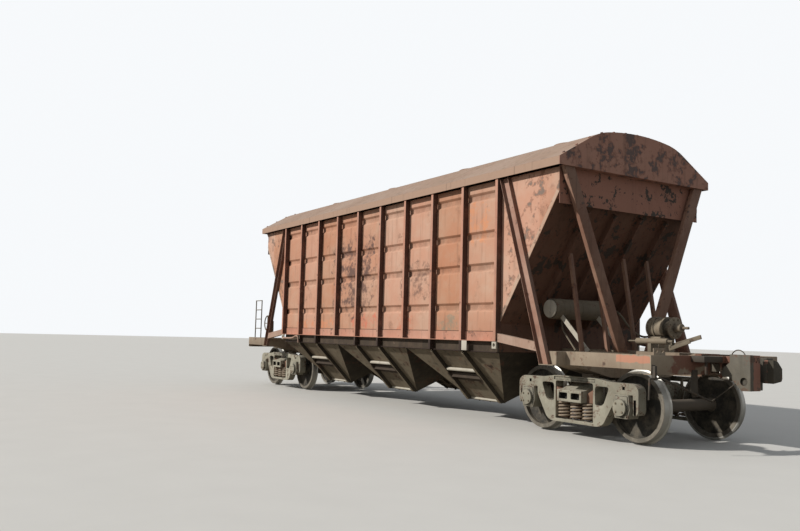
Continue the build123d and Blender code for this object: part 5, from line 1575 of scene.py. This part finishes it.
    def adjuster_sleeve(self) -> Thing:
        """The fat sleeve round the slack adjuster's rod."""
        return Bench.join("adjuster_sleeve", [Bench.rod(self.sleeve)])

    def far_pipe(self) -> Thing:
        """The bent pipe under the side sill's far corner."""
        return Bench.pipe("far_pipe", list(self.far_run), self.far_radius)

    def build(self) -> None:
        """Round the end pieces and add the small fittings."""
        for end in ENDS:
            self.shop.soften(f"coupler_{end}", self.coupler_rounding, Slot.COUPLER, segments=3)
            self.shop.soften(f"uncoupling_gear_{end}", self.fitting_rounding, Slot.FITTINGS)
            self.shop.soften(f"end_platform_{end}", self.platform_rounding, Slot.FRAME)
        for node in ("air_reservoir", "brake_cylinder", "slack_adjuster", "hand_brake", "ladder"):
            self.shop.soften(node, self.fitting_rounding, Slot.FITTINGS)
        for node in ("side_struts", "end_struts"):
            self.shop.soften(node, self.strut_rounding, Slot.BROWN)
        for make, finish in ((self.reservoir, FITTING), (self.far_pipe, CORNER), (self.adjuster_sleeve, DRUM),
                             (self.tank_heads, PALE), (self.leg_plates, PALE)):
            self.shop.add(make(), finish, Slot.FITTINGS)
        # The lips get the dark finish as painted shade, for the shadow under the end beam's top.
        self.shop.add(self.striker_lips(), DARK, Slot.COUPLER)
        self.shop.add(self.pipes(), FITTING, Slot.FITTINGS)
        self.shop.add(self.cylinder_bolts(), FITTING, Slot.FITTINGS)


@dataclass
class Studio:
    """Camera, lamps and floor."""

    eye: Triple = (13.663, -9.378, 1.374 + FLANGE_H)
    yaw: float = 2.5833
    pitch: float = 0.085
    roll: float = 0.0261
    focal_px: float = 804.58
    frame_px: float = 800.0
    sensor_mm: float = 36.0
    far_clip: float = 400.0
    floor_half: float = 120.0
    floor_low: Colour = rgb(0.83, 0.82, 0.80)
    floor_high: Colour = rgb(0.86, 0.85, 0.83)
    floor_glow: Colour = rgb(0.50, 0.48, 0.44)
    floor_rough: float = 0.9
    sun_strength: float = 3.25
    sun_blur: float = 1.5
    sun_colour: Triple = (1.0, 0.97, 0.92)
    sun_way: Triple = (0.40, 0.85, -0.58)
    sky_strength: float = 0.36
    sky_colour: Colour = (0.88, 0.94, 1.0, 1.0)
    backdrop: Colour = (0.93, 0.95, 0.97, 1.0)
    mirrored: float = 0.5

    def camera(self) -> None:
        """Set the camera that matches the photograph's viewpoint."""
        forward = Vector((math.cos(self.yaw) * math.cos(self.pitch),
                          math.sin(self.yaw) * math.cos(self.pitch), math.sin(self.pitch)))
        right = Vector((math.sin(self.yaw), -math.cos(self.yaw), 0.0))
        up = right.cross(forward)
        rolled_right = right * math.cos(self.roll) + up * math.sin(self.roll)
        rolled_up = up * math.cos(self.roll) - right * math.sin(self.roll)
        rotation = Matrix((rolled_right, rolled_up, -forward)).transposed()
        data = bpy.data.cameras.new("camera")
        data.sensor_fit = "HORIZONTAL"
        data.sensor_width = self.sensor_mm
        data.lens = self.sensor_mm * self.focal_px / self.frame_px
        data.clip_end = self.far_clip
        camera = Bench.show(data, "camera")
        camera.matrix_world = Matrix.Translation(self.eye) @ rotation.to_4x4()
        bpy.context.scene.camera = camera

    def sun(self) -> None:
        """Set a soft key lamp from the left front."""
        key = bpy.data.lights.new("key", "SUN")
        key.energy = self.sun_strength
        key.angle = math.radians(self.sun_blur)
        key.color = self.sun_colour
        lamp = Bench.show(key, "key")
        lamp.rotation_mode = "QUATERNION"
        lamp.rotation_quaternion = Vector(self.sun_way).normalized().to_track_quat("-Z", "Y")

    def sky(self) -> None:
        """Set a broad sky that lights the wagon, with a plain backdrop for the camera."""
        world = bpy.data.worlds.new("sky")
        bpy.context.scene.world = world
        world.use_nodes = True
        world.node_tree.nodes.clear()
        wires = Wiring(world.node_tree)
        dome = wires.add("Background", {"Color": self.sky_colour, "Strength": self.sky_strength})
        seen = wires.add("Background", {"Color": self.backdrop, "Strength": 1.0})
        ray = wires.add("LightPath").outputs
        direct = wires.math("MAXIMUM", ray["Is Camera Ray"], wires.times(ray["Is Glossy Ray"], self.mirrored))
        direct = wires.math("MAXIMUM", direct, ray["Is Transmission Ray"])
        blend = wires.add("MixShader", {0: direct, 1: dome.outputs[0], 2: seen.outputs[0]})
        wires.add("OutputWorld", {"Surface": blend.outputs[0]})

    def floor(self) -> None:
        """Lay a plain pale floor at the flanges' lowest level."""
        bpy.ops.mesh.primitive_plane_add(size=2 * self.floor_half, location=(0.0, 0.0, 0.0))
        plane = bpy.context.object
        plane.name = "floor"
        material, wires, shader = new_surface("pale_floor")
        tone = wires.mix(wires.noise(FLOOR_TONE), self.floor_low, self.floor_high)
        seen = wires.add("LightPath").outputs["Is Camera Ray"]
        wires.feed(shader["Base Color"], wires.mix(seen, self.floor_glow, tone))
        wires.feed(shader["Roughness"], self.floor_rough)
        plane.data.materials.append(material)

    def build(self) -> None:
        """Make the whole studio."""
        for step in (self.camera, self.sun, self.sky, self.floor):
            step()
        bpy.context.scene.view_settings.view_transform = "Standard"


def main() -> None:
    """Load the frame, dress the wagon and add its finer pieces."""
    logging.basicConfig(level=logging.INFO, format="%(name)s: %(message)s")
    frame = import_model()
    bpy.ops.object.select_all(action="DESELECT")
    wardrobe = Wardrobe()
    wardrobe.dress_nodes(frame["nodes"])
    shop = Workshop(frame["nodes"], wardrobe)
    Shell(shop).build()
    for end in ENDS:
        Bogie(shop, end).build()
    Hoppers(shop).build()
    for number in range(1, HATCH_COUNT + 1):
        Hatch(shop, number).build()
    EndGear(shop).build()
    Studio().build()


if __name__ == "__main__":
    main()
